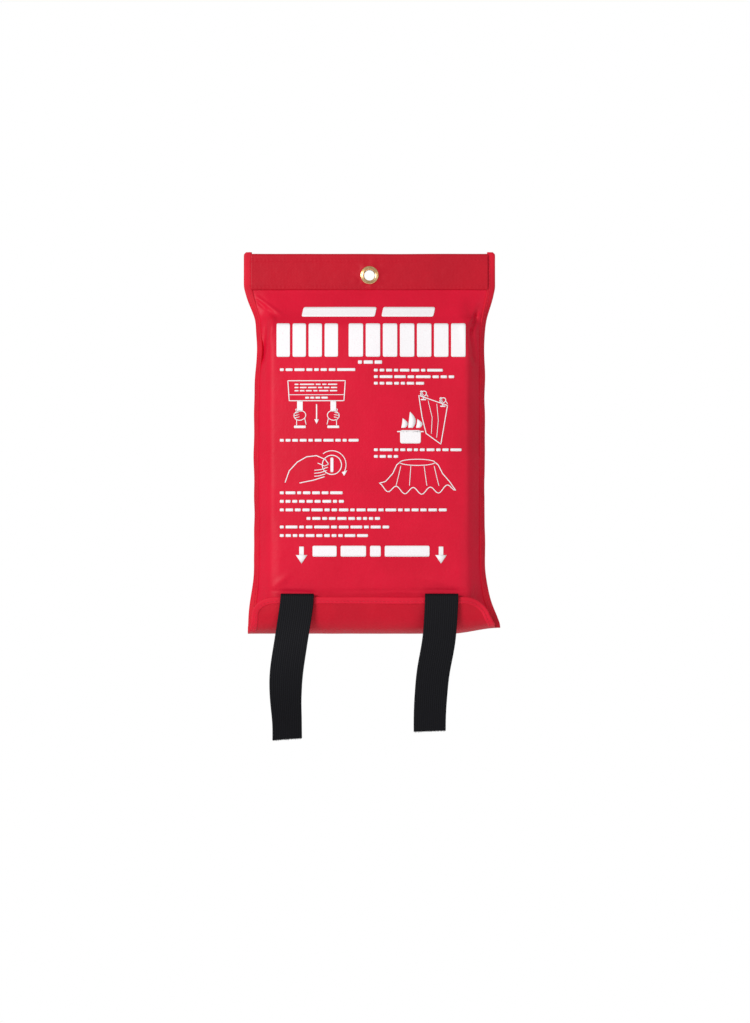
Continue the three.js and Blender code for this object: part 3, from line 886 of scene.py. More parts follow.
def side_path(side):
    """Points down the side seam, from above the header to just below the corner."""
    seam = sleeve[:, 0 if side < 0 else PANEL_COLUMNS]
    seam = np.vstack([seam, seam[-1] + [0, -0.6, -2.2]])
    top = np.arange(BINDING_HIGH[2] + 0.8, HEADER_SEAM_Z, -2.0)
    above = np.array([[side * SEAM_TOP_X, HEADER_MIDDLE, z] for z in top])
    return blur_rows(resample(np.concatenate([above, seam]), 1.5)[0], 2)


def round_top_corner(tape, side, top):
    """Rounds the outer corner of a tape's upper end."""
    for vertex in tape.data.vertices:
        height = vertex.co.z / MM - (top - TAPE_CORNER)
        if height > 0 and abs(vertex.co.x) / MM > HALF_WIDTH - 3:
            reach = math.sqrt(max(0.6, TAPE_CORNER**2 - height**2))
            vertex.co.x -= side * (TAPE_CORNER - reach) * MM


def side_binding(side, name):
    """One side's tape, and the line and normals of its stitches."""
    path = side_path(side)
    across, normals = seam_axes(side, path[:, 2])
    path = path + normals * np.array([[0.25 * wobble(p[2] / 17, side, 9)] for p in path])
    tape = sweep(f"{name}_tape", path, across, normals, TAPE_SECTION, TAPE)
    round_top_corner(tape, side, path[0][2])
    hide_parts(name)
    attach(tape, "pouch")
    row = path + across * STITCH_FROM_EDGE + normals * TAPE_FACE
    return row[4:-3], normals[4:-3]


for word, side in SIDES.items():
    row, normals = side_binding(side, f"side_binding_{word}")
    stitches = stitch_row(f"side_stitches_{word}", [(row, normals)], THREAD)
    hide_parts(f"side_stitching_{word}")
    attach(stitches, "pouch")


# ---- Header band: a strip folded over the tops of both panels ------------------------------------

TOP_STITCH_Z = HEADER_HIGH[2] - 4.8
SEAM_STITCH_Z = HEADER_LOW[2] + 2.2
BAND_HALF_WIDTH = SEAM_TOP_X + 0.6
HOLE_RADIUS, HOLE_SIDES = 4.9, 48


def header_relief(x, z):
    """How far the band's face stands out from its plain thickness, in millimetres."""
    relief = 0.35 * wobble(x / 34, z / 18, 2) + 0.14 * wobble(x / 9, z / 11, 4)
    for line in (TOP_STITCH_Z, SEAM_STITCH_Z):
        relief -= 0.42 * math.exp(-(((z - line) / 1.1) ** 2))
        relief += 0.12 * math.cos(2 * math.pi * x / STITCH_PITCH) * math.exp(-(((z - line) / 1.4) ** 2))
    reach = math.hypot(x, z)
    turn = math.atan2(z, x)
    relief -= 0.55 * math.exp(-(((reach - 6.5) / 2.6) ** 2))
    relief += 0.22 * math.cos(7 * turn + 0.6) * math.exp(-(((reach - 10) / 3.5) ** 2))
    return relief


def header_section():
    """(forward offset from the middle, z) round the folded strip, starting at its lower front edge."""
    half = HEADER_HALF - 0.45
    low, high = HEADER_LOW[2] + 0.4, HEADER_HIGH[2] - half
    front = [(half, z) for z in np.linspace(low, high, 34)]
    fold = [(half * math.cos(a), high + half * math.sin(a)) for a in np.linspace(0.3, math.pi - 0.3, 7)]
    back = [(-half, z) for z in np.linspace(high, low, 18)]
    return front + fold + back


def band_line(x):
    """The middle of the band at x, and how far it is lifted there."""
    return HEADER_MIDDLE + 0.3 * wobble(x / 60, 0.0, 7), 0.25 * wobble(x / 40, 0.0, 11)


def header_band():
    section = header_section()
    xs = np.linspace(-BAND_HALF_WIDTH, BAND_HALF_WIDTH, 182)
    points, weave = [], []
    for x in xs:
        middle, lift = band_line(x)
        for (offset, z), v in zip(section, arc_lengths(section)):
            face = 1 if offset > 0 else 0.5
            forward = middle + offset + math.copysign(header_relief(x, z) * face, offset)
            points.append((x, forward, z + lift))
            weave.append((x, v, 0))
    grid = np.array(points).reshape(len(xs), len(section), 3)
    weave = np.array(weave)
    band = grid_sheet("header_band_cloth", grid, FABRIC_THICKNESS, HEADER_FABRIC, weave, smooth_levels=0)
    turn_outward(band)
    hole = cylinder_cutter(HOLE_RADIUS, -3, 12)
    cut = band.modifiers.new("eyelet_hole", "BOOLEAN")
    cut.object = hole
    cut.operation = "DIFFERENCE"
    apply_modifiers(band)
    band.data.shade_smooth()
    bpy.data.objects.remove(hole, do_unlink=True)
    return band


def cylinder_cutter(radius, rear, front):
    """A solid to cut the eyelet's hole with."""
    points = [(x, f, z) for f in (rear, front) for x, z in oval(0, 0, radius, radius, HOLE_SIDES)]
    faces = grid_faces(2, HOLE_SIDES, closed=True) + end_faces(2, HOLE_SIDES)
    cutter = make_piece("cutter", points, faces, HEADER_FABRIC)
    turn_outward(cutter)
    return cutter


header = header_band()
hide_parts("header_band")
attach(header, "pouch")


def header_stitches(name, z, node):
    """A row along the band's front face at height z."""
    row = []
    for x in np.arange(-SEAM_TOP_X + 0.8, SEAM_TOP_X - 0.7, 1.0):
        middle, lift = band_line(x)
        row.append((x, middle + HEADER_HALF - 0.03 + header_relief(x, z), z + lift))
    row = np.array(row)
    normals = np.tile([0.0, 1.0, 0.0], (len(row), 1))
    stitches = stitch_row(name, [(row, normals)], THREAD)
    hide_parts(node)
    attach(stitches, "pouch")


header_stitches("header_top_stitches", TOP_STITCH_Z, "header_top_stitching")
header_stitches("header_seam_stitches", SEAM_STITCH_Z, "header_seam_stitching")


# ---- Eyelet --------------------------------------------------------------------------------------

def lathe(name, profile, material, segments=96):
    """A closed (radius, forward) profile turned about the eyelet's axis."""
    points = []
    for x, z in oval(0, 0, 1, 1, segments):
        points += [(r * x, f, r * z) for r, f in profile]
    faces = grid_faces(segments, len(profile), closed=True, ring=True)
    piece = make_piece(name, points, faces, material)
    turn_outward(piece)
    piece.data.shade_smooth()
    return piece


def arc(centre, radius, start, end, steps):
    angles = np.radians(np.linspace(start, end, steps))
    return [(centre[0] + radius * math.cos(a), centre[1] + radius * math.sin(a)) for a in angles]


def eyelet_pieces():
    front = EYELET_FRONT
    bore, barrel, flange = 4.0, 4.5, 7.0
    seat = HEADER_FRONT - 0.35
    roll = 0.55
    profile = arc((bore + 1.1, front - 1.1), 1.1, 180, 90, 9)
    profile += [(flange - 1.7, front - 0.12)]
    profile += arc((flange - 0.9, front - 1.0), 0.9, 82, -60, 12)
    profile += [(flange - 1.2, seat), (barrel + 0.7, seat), (barrel, seat - 0.6)]
    profile += [(barrel, 0.9)] + arc((barrel + roll, 0.75), roll, 180, 300, 7)
    profile += [(barrel + 0.6, 0.12), (bore + 0.25, 0.2), (bore, 0.7)]
    eyelet = lathe("eyelet_shell", profile, BRASS)
    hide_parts("eyelet")
    low, high = WASHER_LOW[1], WASHER_HIGH[1]
    rim = [(5.15, low + 0.1), (6.4, low), (6.9, low + 0.2), (7.0, low + 0.5), (6.8, high + 0.35)]
    rim += [(6.3, high + 0.2), (5.6, high), (5.15, high - 0.1)]
    washer = lathe("eyelet_back_washer", rim, BRASS)
    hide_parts("eyelet_washer")
    for piece in (eyelet, washer):
        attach(piece, "pouch")


eyelet_pieces()


# ---- Closure flap --------------------------------------------------------------------------------

FLAP_FACE = FLAP_HIGH[1] - 0.35  # middle of the flap's cloth where it stands upright
FLAP_TOP = FLAP_HIGH[2] - 2.0
CORNER_WIDTH, CORNER_HEIGHT = 17.0, 13.0
FLAP_EAR = np.array([4.0, 1.2, 4.4])  # how far its lower right corner is drawn aside, forward and up
FLAP_HALF_TOP = 87.6
FLAP_HALF_ROOT = 92.0


def flap_profile():
    """(forward, z) of the flap from the back of the pouch, under the mouth and up the front."""
    knots = np.array([
        [0.5, 5.0], [0.45, 2.5], [1.0, 0.2], [3.2, -0.5], [8.0, -0.2], [14.0, 1.0],
        [19.5, 3.8], [22.6, 8.0], [FLAP_FACE - 0.4, 13.5], [FLAP_FACE, 19.0], [FLAP_FACE, FLAP_TOP - FOLD_Z],
    ])
    spans = arc_lengths(knots)
    fine = blur_rows(interpolate(np.linspace(0, spans[-1], 160), spans, knots), 60)
    fine[:, 1] += FOLD_Z
    return fine, arc_lengths(fine)


FLAP_CURVE, FLAP_ALONG = flap_profile()
FLAP_LENGTH = FLAP_ALONG[-1]


def flap_half_width(s):
    return FLAP_HALF_ROOT + (FLAP_HALF_TOP - FLAP_HALF_ROOT) * smoothstep(s, 4, FLAP_LENGTH - CORNER_HEIGHT)


def flap_reach(x):
    """How far up the flap's cloth reaches at x, with its two rounded corners."""
    over = np.clip((abs(x) - (FLAP_HALF_TOP - CORNER_WIDTH)) / CORNER_WIDTH, 0, 1)
    return FLAP_LENGTH - CORNER_HEIGHT * (1 - np.sqrt(1 - over**2))


def flap_point(x, s):
    """A point of the flap's cloth and the way its outer side faces."""
    spots = [max(s - 0.5, 0), s, min(s + 0.5, FLAP_LENGTH)]
    before, (forward, z), after = interpolate(spots, FLAP_ALONG, FLAP_CURVE)
    slope = unit(after - before)
    normal = np.array([0.0, slope[1], -slope[0]])
    free = smoothstep(s, 14, FLAP_LENGTH)
    wave = 0.55 * wobble(x / 30, s / 24, 3) + 0.3 * wobble(x / 12, s / 15, 6)
    edge = smoothstep(abs(x), FLAP_HALF_TOP - 22, FLAP_HALF_TOP)
    sag = -2.6 * edge * smoothstep(s, 10, FLAP_LENGTH - 8) * (0.35 if x < 0 else 1.2)
    point = np.array([x, forward, z]) + normal * (wave * (0.3 + 0.7 * free))
    point[1] += sag
    ear = smoothstep(x, FLAP_HALF_TOP - 26, FLAP_HALF_ROOT) * (1 - smoothstep(s, 22, FLAP_LENGTH - 4))
    point += FLAP_EAR * ear
    point[2] += 0.5 * wobble(x / 45, 1.0, 8) * free
    return point, normal


FLAP_COLUMNS, FLAP_ROWS = 100, 34


def flap_cloth():
    grid = np.zeros((FLAP_ROWS, FLAP_COLUMNS + 1, 3))
    weave = np.zeros_like(grid)
    for c in range(FLAP_COLUMNS + 1):
        u = -1 + 2 * c / FLAP_COLUMNS
        u = math.copysign(1 - (1 - abs(u)) ** 1.25, u)
        for r in range(FLAP_ROWS):
            t = r / (FLAP_ROWS - 1)
            reach = flap_reach(u * FLAP_HALF_TOP)
            s = t * reach
            x = u * flap_half_width(s)
            grid[r, c], _ = flap_point(x, s)
            weave[r, c] = (x, s, 0)
    return grid_sheet("closure_flap_cloth", grid, FLAP_THICKNESS, FLAP_FABRIC_PAINTED_SHADE, weave)


def flap_outline(margin, floor):
    """(x, s) along the flap's free edge, moved in by a margin, from left to right."""
    rx, rs = CORNER_WIDTH - margin, CORNER_HEIGHT - margin
    centre_s = FLAP_LENGTH - CORNER_HEIGHT
    right = [(float(flap_half_width(s)) - margin, s) for s in np.linspace(floor, centre_s, 12)]
    turn = np.linspace(0, math.pi / 2, 16)
    centre_x = FLAP_HALF_TOP - CORNER_WIDTH
    right += [(centre_x + rx * math.cos(a), centre_s + rs * math.sin(a)) for a in turn[1:]]
    left = [(-x, s) for x, s in right]
    return left + right[::-1]


def flap_edge(margin, floor, step, lift=0.0):
    """Points, outer normals and inward directions along the flap's edge."""
    flat = np.array([(x, s, 0) for x, s in flap_outline(margin, floor)])
    flat, _ = resample(flat, step)
    points, normals = [], []
    for x, s, _ in flat:
        point, normal = flap_point(x, s)
        points.append(point + normal * lift)
        normals.append(normal)
    points, normals = np.array(points), np.array(normals)
    along = unit(np.gradient(points, axis=0))
    inward = unit(np.cross(normals, along))
    return points, unit(np.cross(along, inward)), inward


EDGE_SECTION = [(-0.75, 0.0)] + mirrored(
    [(-0.6, 0.5), (-0.2, 0.85), (0.6, 0.95), (1.9, 0.8), (3.2, 0.95), (4.1, 0.9), (4.3, 0.65), (4.3, 0.4)]
)

flap = flap_cloth()
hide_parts("closure_flap")
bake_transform(flap)

edge_points, edge_normals, edge_inward = flap_edge(0, 20, 1.5)
flap_tape = sweep("flap_binding_tape", edge_points, edge_inward, edge_normals, EDGE_SECTION, TAPE_PAINTED_HIGHLIGHT)
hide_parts("flap_binding")
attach(flap_tape, "flap")

row_points, row_normals, _ = flap_edge(2.6, 21, 1.0, lift=0.98)
flap_stitches = stitch_row("flap_stitches", [(row_points, row_normals)], THREAD)
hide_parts("flap_stitching")
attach(flap_stitches, "flap")


# ---- Closure tapes -------------------------------------------------------------------------------

def closure_tape(name, node, body, material, outward):
    """One half of the closure: a flat selvedge round a napped face that looks outward, 1 or -1."""
    low, high = box_mm(node)
    columns, rows = 108, 16
    grid = np.zeros((rows, columns, 3))
    weave = np.zeros_like(grid)
    middle = (low[1] + high[1]) / 2
    for r, z in enumerate(np.linspace(low[2], high[2], rows)):
        for c, x in enumerate(np.linspace(low[0], high[0], columns)):
            selvedge = min(r, rows - 1 - r, c, columns - 1 - c) < 2
            nap = 0.0 if selvedge else 0.18 + 0.16 * wobble(x * 1.7, z * 1.7, 12)
            grid[r, c] = (x, middle + outward * nap, z)
            weave[r, c] = (x, z, 0)
    tape = grid_sheet(name, grid, CLOSURE_THICKNESS, material, weave)
    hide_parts(node)
    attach(tape, body)


closure_tape("loop_strip", "loop_tape", "pouch", LOOPS, 1)
closure_tape("hook_strip", "hook_tape", "flap", HOOKS, -1)


# ---- Pull tabs: one strap of webbing each side, sewn to the blanket and brought out over the flap --

WEBBING_WIDTH = 25.0
WEBBING_THICKNESS = 1.05
SELVEDGE_RADIUS = 0.5
STRAP_COLUMNS = 22
SPLIT_Z = FOLD_Z + 23.0
CROWN_Z = FLAP_TOP + 0.4
TAB_TWIST = {"left": 26.0, "right": 20.0}
# (x, z) down each hanging tab, from the flap's edge.
TAB_LINE = {
    "left": [(-53.9, -240), (-54.6, -250), (-58.3, -274), (-61.8, -298), (-62.4, -316), (-61.4, -335),
             (-61.2, -351)],
    "right": [(54.0, -240), (53.7, -250), (51.9, -274), (47.7, -298), (45.9, -316), (45.1, -331),
              (45.0, -345)],
}


def strap_section():
    """Across and normal offsets round the webbing, with a rounded selvedge."""
    half, thick = WEBBING_WIDTH / 2 - SELVEDGE_RADIUS, WEBBING_THICKNESS / 2
    flat = np.linspace(-half, half, STRAP_COLUMNS)
    right = [(half + SELVEDGE_RADIUS * math.cos(t), thick * math.sin(t)) for t in (0.9, 0.3)]
    left = [(-a, n) for a, n in reversed(right)]
    return np.array(mirrored(left + [(a, thick) for a in flat] + right))


def strap_frames(route):
    """Centres, lengths, across and normal directions along (x, forward, z, twist in degrees)."""
    route = np.asarray(route, float)
    centres, at = resample(route[:, :3], 1.2)
    twist = np.radians(np.interp(at, arc_lengths(route[:, :3]), route[:, 3]))
    along = unit(blur_rows(np.gradient(centres, axis=0), 2))
    side = np.tile([1.0, 0.0, 0.0], (len(centres), 1))
    side = unit(side - along * np.sum(side * along, axis=1, keepdims=True))
    normal = np.cross(along, side)
    across = side * np.cos(twist)[:, None] + normal * np.sin(twist)[:, None]
    return centres, at, across, unit(np.cross(along, across))


def strap(name, frames):
    """Webbing with its slight hollows, along frames from strap_frames, and its length."""
    centres, at, across, normals = frames
    section = strap_section()
    points, weave = [], []
    for k in range(len(centres)):
        cup = 0.55 * wobble(at[k] / 26, 0.0, 21) * smoothstep(at[k], 30, 60)
        for a, n in section:
            points.append(centres[k] + across[k] * a + normals[k] * (n + cup * math.cos(a / 9)))
            weave.append((a, at[k], n))
    size = len(centres), len(section)
    faces = grid_faces(*size, closed=True) + end_faces(*size)
    piece = make_piece(name, points, faces, WEBBING, weave)
    turn_outward(piece)
    smooth_faces(piece)
    return piece, at[-1] - at[0]


def smooth_curve(points, steps=10):
    """A smooth curve through points."""
    points = np.asarray(points, float)
    padded = np.vstack([2 * points[0] - points[1], points, 2 * points[-1] - points[-2]])
    out = []
    for i in range(1, len(padded) - 2):
        p0, p1, p2, p3 = padded[i - 1 : i + 3]
        for t in np.linspace(0, 1, steps, endpoint=False):
            out.append(0.5 * (2 * p1 + (p2 - p0) * t + (2 * p0 - 5 * p1 + 4 * p2 - p3) * t**2
                              + (3 * p1 - p0 - 3 * p2 + p3) * t**3))
    out.append(points[-1])
    return np.array(out)


YARNS, YARN_SIDES, YARN_SPREAD = 46, 5, 24.2


def frayed_end(word, end):
    """Short loose yarns at a strap's cut end."""
    centre, _, across, normal = end
    down = np.array([0.0, 0.0, -1.0])
    seed = len(word)
    tube = grid_faces(3, YARN_SIDES, closed=True) + end_faces(3, YARN_SIDES)
    points, faces = [], []
    for k in range(YARNS):
        a = YARN_SPREAD * (k / (YARNS - 1) - 0.5)
        length = 0.5 + 1.1 * abs(wobble(k * 0.73, seed, 31))
        lean, swing = 0.5 * wobble(k * 0.41, seed, 33), 0.35 * wobble(k * 0.57, seed, 35)
        faces += [tuple(len(points) + corner for corner in face) for face in tube]
        for level, radius in ((-0.8, 0.22), (0.35 * length, 0.18), (length, 0.07)):
            share = (level + 0.8) / (length + 0.8)
            for side, front in oval(0, 0, radius, radius, YARN_SIDES):
                offset = across * (a + lean * share + side) + normal * (swing * share + front)
                points.append(centre + offset + down * level)
    piece = make_piece(f"tab_{word}_frayed_yarns", points, faces, WEBBING)
    turn_outward(piece)
    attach(piece, f"tab_{word}")


def strap_route(word, x, inner, outer, end_z):
    """From under the flap, over its edge and down to the strap's end."""
    middle, radius = (inner + outer) / 2, (outer - inner) / 2
    crown = [
        (x, middle - radius * math.cos(a), CROWN_Z + radius * math.sin(a), 0)
        for a in np.linspace(0, math.pi, 14)
    ]
    line = smooth_curve([(a, 0.0, z) for a, z in TAB_LINE[word]])
    depths = np.arange(CROWN_Z - 1.5, end_z, -2.0)
    centre = np.interp(-depths, -line[:, 2], line[:, 0])
    drop = (depths[0] - depths) / (depths[0] - end_z)
    stand = 1.5 * np.sin(np.pi * drop) + 2.4 * smoothstep(drop, 0.55, 1.0)
    twist = TAB_TWIST[word] * smoothstep(drop, 0.25, 0.95) + 5 * SIDES[word] * np.sin(np.pi * drop * 1.7)
    twist *= smoothstep(drop, 0.02, 0.25)
    under_flap = [(x, inner, FOLD_Z + 16.5, 0), (x, inner, FOLD_Z + 22, 0)]
    return under_flap + crown + list(zip(centre, outer + stand, depths, twist))


def pull_tab(word):
    fold_low, _ = box_mm(f"tab_{word}_fold")
    strap_low, strap_high = box_mm(f"tab_{word}_strap")
    anchor_low, anchor_high = box_mm(f"tab_{word}_anchor")
    x = (anchor_low[0] + anchor_high[0]) / 2
    inner = fold_low[1] + WEBBING_THICKNESS / 2
    outer = strap_high[1] - WEBBING_THICKNESS / 2
    frames = strap_frames(strap_route(word, x, inner, outer, strap_low[2] + 2.2))
    centres = frames[0]
    split = next(k for k, p in enumerate(centres) if p[1] > FLAP_FACE and p[2] < SPLIT_Z)
    top, length = strap(f"tab_{word}_over_flap", [part[: split + 1] for part in frames])
    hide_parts(f"tab_{word}_fold", f"tab_{word}_bend")
    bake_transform(top)

    lower, length = strap(f"tab_{word}_hanging", [part[split:] for part in frames])
    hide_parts(f"tab_{word}_strap")
    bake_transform(lower)
    frayed_end(word, [part[-1] for part in frames])

    middle = (anchor_low[1] + anchor_high[1]) / 2
    inside = [(x, middle, z, 0) for z in np.arange(anchor_low[2], anchor_high[2] + 0.1, 2.0)]
    anchor, length = strap(f"tab_{word}_sewn_end", strap_frames(inside))
    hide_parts(f"tab_{word}_anchor")
    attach(anchor, "blanket")
    anchor_stitches(word, x, middle, anchor_low[2], anchor_high[2])


def anchor_stitches(word, x, middle, low, high):
    """A sewn box with its two diagonals, which fastens the strap to the blanket."""
    left, right, bottom, top = x - 9.5, x + 9.5, low + 8, high - 3
    corners = [(left, bottom), (right, bottom), (right, top), (left, top), (left, bottom), (right, top)]
    face = middle + WEBBING_THICKNESS / 2
    rows = []
    for (x0, z0), (x1, z1) in list(zip(corners, corners[1:])) + [((left, top), (right, bottom))]:
        path = np.linspace((x0, face, z0), (x1, face, z1), 24)
        rows.append((path, np.tile([0.0, 1.0, 0.0], (24, 1))))
    stitches = stitch_row(f"tab_{word}_box_stitches", rows, BLACK_THREAD)
    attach(stitches, "blanket")


for word in SIDES:
    pull_tab(word)


# ---- Folded blanket: one cloth folded to and fro in its width, then in its length ----------------

BLANKET_SIDE = 1000.0
LAYERS, RUNS = 7, 5
RUN_ENDS = (48, 40, 40, 30, 30)  # how far above the mouth each run's lower end is
LAYER_PITCH = 0.375
BLANKET_SLACK = 11.0  # its soft upper folds sink this far below the room made for it


def blanket_rows():
    """(forward, z, normal forward, normal z) down the runs of the folded stack."""
    pitch = (PACK_HIGH[1] - PACK_LOW[1] - (LAYERS - 1) * LAYER_PITCH) / (RUNS - 1)
    rear = PACK_LOW[1] + (LAYERS - 1) / 2 * LAYER_PITCH
    radius = pitch / 2
    top = PACK_HIGH[2] - radius - BLANKET_SLACK
    rows = []
    for run in range(RUNS):
        forward = rear + pitch * run
        low = FOLD_Z + RUN_ENDS[run] + radius
        facing = 1.0 if run % 2 == 0 else -1.0  # forward while the run goes down, then back
        first, last = (top, low) if facing > 0 else (low, top)
        rows += [(forward, z, facing, 0.0) for z in np.linspace(first, last, 26)]
        if run < RUNS - 1:
            for a in np.linspace(0, math.pi, 9)[1:-1]:
                turn, drop = math.cos(a), math.sin(a)
                fold = (forward + radius - radius * turn, last - facing * radius * drop)
                rows.append(fold + (facing * turn, drop))
    return rows


def blanket_columns():
    """(x, layer offset) across the layers, with a small round fold between each two."""
    half = BLANKET_SIDE / LAYERS / 2
    columns = []
    for layer in range(LAYERS):
        offset = (layer - (LAYERS - 1) / 2) * LAYER_PITCH
        jog = 0.9 * wobble(layer * 1.9, 0.0, 41)
        way = 1 if layer % 2 == 0 else -1
        columns += [(x + jog, offset) for x in np.linspace(-half * way, half * way, 16)]
        if layer < LAYERS - 1:
            columns.append((columns[-1][0] + 0.25 * way, offset + LAYER_PITCH / 2))
    return columns


def blanket():
    rows, columns = blanket_rows(), blanket_columns()
    grid = np.zeros((len(rows), len(columns), 3))
    for r, (forward, z, normal_f, normal_z) in enumerate(rows):
        for c, (x, offset) in enumerate(columns):
            swell = 0.22 * wobble(x / 30, z / 40, 43)
            shift = 0.5 * wobble(z / 50, offset, 45)
            grid[r, c] = (x + shift, forward + normal_f * offset + swell, z + normal_z * offset)
    weave = flat_weave(len(rows), len(columns), BLANKET_SIDE, BLANKET_SIDE)
    return grid_sheet("blanket_sheet", grid, GLASS_THICKNESS, GLASS, weave, smooth_levels=0)


cloth = blanket()
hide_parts("blanket_cloth")
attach(cloth, "blanket")


# ---- Print: white ink on the front panel ---------------------------------------------------------

STROKE_STEP = 1.2  # the ink is cut to about these lengths, so that it follows the cloth
BLOCK_STEP = 1.5
INK_RISE = 0.17  # from the panel's face to the film's
INK_THICKNESS = 0.1


class Print:
    """Flat shapes in (x, z), laid onto the front panel's face."""

    def __init__(self, panel):
        mesh = panel.data
        corners = [v.co.copy() for v in mesh.vertices]
        self.tree = BVHTree.FromPolygons(corners, [tuple(p.vertices) for p in mesh.polygons])
        self.points, self.faces = [], []

    def strip(self, left, right):
        """A ribbon between two lines of (x, z) points."""
        base = len(self.points)
        for p, q in zip(left, right):
            self.points += [p, q]
        for k in range(len(left) - 1):
            a = base + 2 * k
            self.faces.append((a, a + 1, a + 3, a + 2))

    def stroke(self, path, width, closed=False):
        """A pen line of even width along a path, with round ends."""
        path = [np.array(p, float) for p in path]
        if closed:
            path.append(path[0])
        fine = [path[0]]
        for p, q in zip(path, path[1:]):
            count = max(1, int(np.linalg.norm(q - p) / STROKE_STEP))
            fine += [p + (q - p) * k / count for k in range(1, count + 1)]
        fine = np.array(fine)
        along = np.gradient(fine, axis=0)
        if closed:
            along[0] = along[-1] = fine[1] - fine[-2]
        side = unit(np.stack([-along[:, 1], along[:, 0]], axis=1)) * width / 2
        self.strip(fine + side, fine - side)
        if not closed:
            for x, z in (fine[0], fine[-1]):
                self.fill(oval(x, z, width / 2, width / 2, 20))

    def fill(self, outline):
        """A filled outline, as a fan about its middle. It suits outlines that bulge outwards."""
        base = len(self.points)
        centre = np.mean(np.array(outline), axis=0)
        self.points.append(tuple(centre))
        self.points += [tuple(p) for p in outline]
        count = len(outline)
        for k in range(count):
            self.faces.append((base, base + 1 + k, base + 1 + (k + 1) % count))

    def block(self, left, right, bottom, top, corner=0.6, slant=0.0):
        """A filled bar with cut corners, built in slices so that it follows the cloth."""
        count = max(2, int((right - left) / BLOCK_STEP) + 1)
        xs = [left, left + corner * 0.3, left + corner]
        xs += list(np.linspace(left + corner, right - corner, count)[1:-1])
        xs += [right - corner, right - corner * 0.3, right]
        lower, upper = [], []
        for x in xs:
            edge = min(x - left, right - x)
            inset = corner * (1 - math.sqrt(max(0.0, 1 - (1 - min(edge / corner, 1)) ** 2)))
            lower.append((x, bottom + inset))
            upper.append((x, top - inset))
        rows = max(1, int((top - bottom) / BLOCK_STEP))
        lower, upper = np.array(lower), np.array(upper)
        for k in range(rows):
            low = lower + (upper - lower) * k / rows
            high = lower + (upper - lower) * (k + 1) / rows
            low[:, 0] += slant * (low[:, 1] - bottom)
            high[:, 0] += slant * (high[:, 1] - bottom)
            self.strip(low, high)

    def words(self, left, right, middle, height, seed, space=1.3):
        """A line of plain bars of word length, which stands for a line of small text."""
        x, k = left, 0
        while x < right - 2.5:
            length = min(3.0 + 13 * abs(wobble(k * 1.37 + seed, seed, 51)), right - x)
            if right - x - length < 4:
                length = right - x
            corner = min(0.5, height / 3)
            self.block(x, x + length, middle - height / 2, middle + height / 2, corner=corner)
            x += length + space
            k += 1

    def arrow(self, x, top, bottom, shaft, head, head_height):
        self.block(x - shaft / 2, x + shaft / 2, bottom + head_height - 0.2, top, corner=0.2)
        self.fill([(x - head / 2, bottom + head_height), (x, bottom), (x + head / 2, bottom + head_height)])

    def piece(self, name):
        """Lays the shapes onto the cloth and makes one thin film of them."""
        points = []
        for x, z in self.points:
            hit, normal, _, _ = self.tree.ray_cast(Vector((x * MM, -0.08, z * MM)), Vector((0, 1, 0)))
            if hit is None:
                raise RuntimeError(f"the print misses the panel at {x:.1f}, {z:.1f}")
            if normal.y > 0:
                normal = -normal
            hit = hit + normal * INK_RISE * MM
            points.append((hit.x / MM, -hit.y / MM, hit.z / MM))
        ink = make_piece(name, points, self.faces, INK)
        work = bmesh.new()
        work.from_mesh(ink.data)
        bmesh.ops.remove_doubles(work, verts=work.verts, dist=0.01 * MM)
        work.normal_update()
        for face in work.faces:
            if face.normal.y > 0:
                face.normal_flip()
        work.to_mesh(ink.data)
        work.free()
        body = ink.modifiers.new("film", "SOLIDIFY")
        body.thickness = INK_THICKNESS * MM
        body.offset = 1
        apply_modifiers(ink)
        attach(ink, "pouch")


def print_headline(panel):
    ink = Print(panel)
    ink.block(-51, 4, -32.2, -24.6, corner=1.2, slant=0.2)
    ink.block(9, 48, -32.2, -24.6, corner=1.2, slant=0.2)
    top, bottom = -37.5, -62.6
    for left, right, count in ((-69.5, -23.5, 4), (-15.5, 72.0, 7)):
        pitch = (right - left + 2.0) / count
        for k in range(count):
            x = left + pitch * k
            ink.block(x, x + pitch - 2.0, bottom, top, corner=1.0)
    ink.words(-8.5, 9.5, -66.6, 2.6, 1.0)
    ink.piece("print_headline")


def mitten(ink, x, z, size, side, tilt=0.0):
    """A plain closed hand in outline: a rounded fist, a thumb and a cuff."""
    cos, sin = math.cos(tilt), math.sin(tilt)

    def place(a, b):
        return (x + side * (a * cos - b * sin) * size, z + (a * sin + b * cos) * size)

    ink.stroke([place(a, b) for a, b in oval(0, 0, 0.62, 0.5, 22)], 0.62, closed=True)
    for row in (-0.18, 0.06, 0.3):
        ink.stroke([place(-0.55, row), place(-0.1, row + 0.04)], 0.5)
    ink.stroke([place(0.1, 0.42), place(-0.12, 0.72), place(-0.34, 0.7), place(-0.28, 0.42)], 0.62)
    ink.stroke([place(-0.4, -0.4), place(-0.5, -1.0)], 0.62)
    ink.stroke([place(0.45, -0.38), place(0.5, -1.0)], 0.62)
    cuff = sorted((place(-0.62, 0)[0], place(0.62, 0)[0]))
    ink.block(*cuff, z - 1.32 * size, z - 1.05 * size, corner=0.4)


def print_pulling(ink):
    """A pouch with two tabs, each pulled down by a hand."""
    ink.stroke([(-61, -80.5), (-18, -80.5), (-19, -95.5), (-60, -95.5)], 0.7, closed=True)
    ink.stroke([(-60, -91), (-19, -91)], 0.5)
    for k, z in enumerate((-83.2, -85.6, -88.0)):
        ink.words(-56, -24, z, 1.0, 3.0 + k, space=1.0)
    ink.words(-48, -31, -93.2, 1.5, 9.0, space=0.8)
    for x, side in ((-52, 1), (-27, -1)):
        ink.block(x - 2.1, x + 2.1, -103.5, -95.5, corner=0.4)
        mitten(ink, x, -106.5, 7.2, side, 0.15)
    ink.arrow(-39.5, -98, -113, 0.9, 3.4, 3.6)


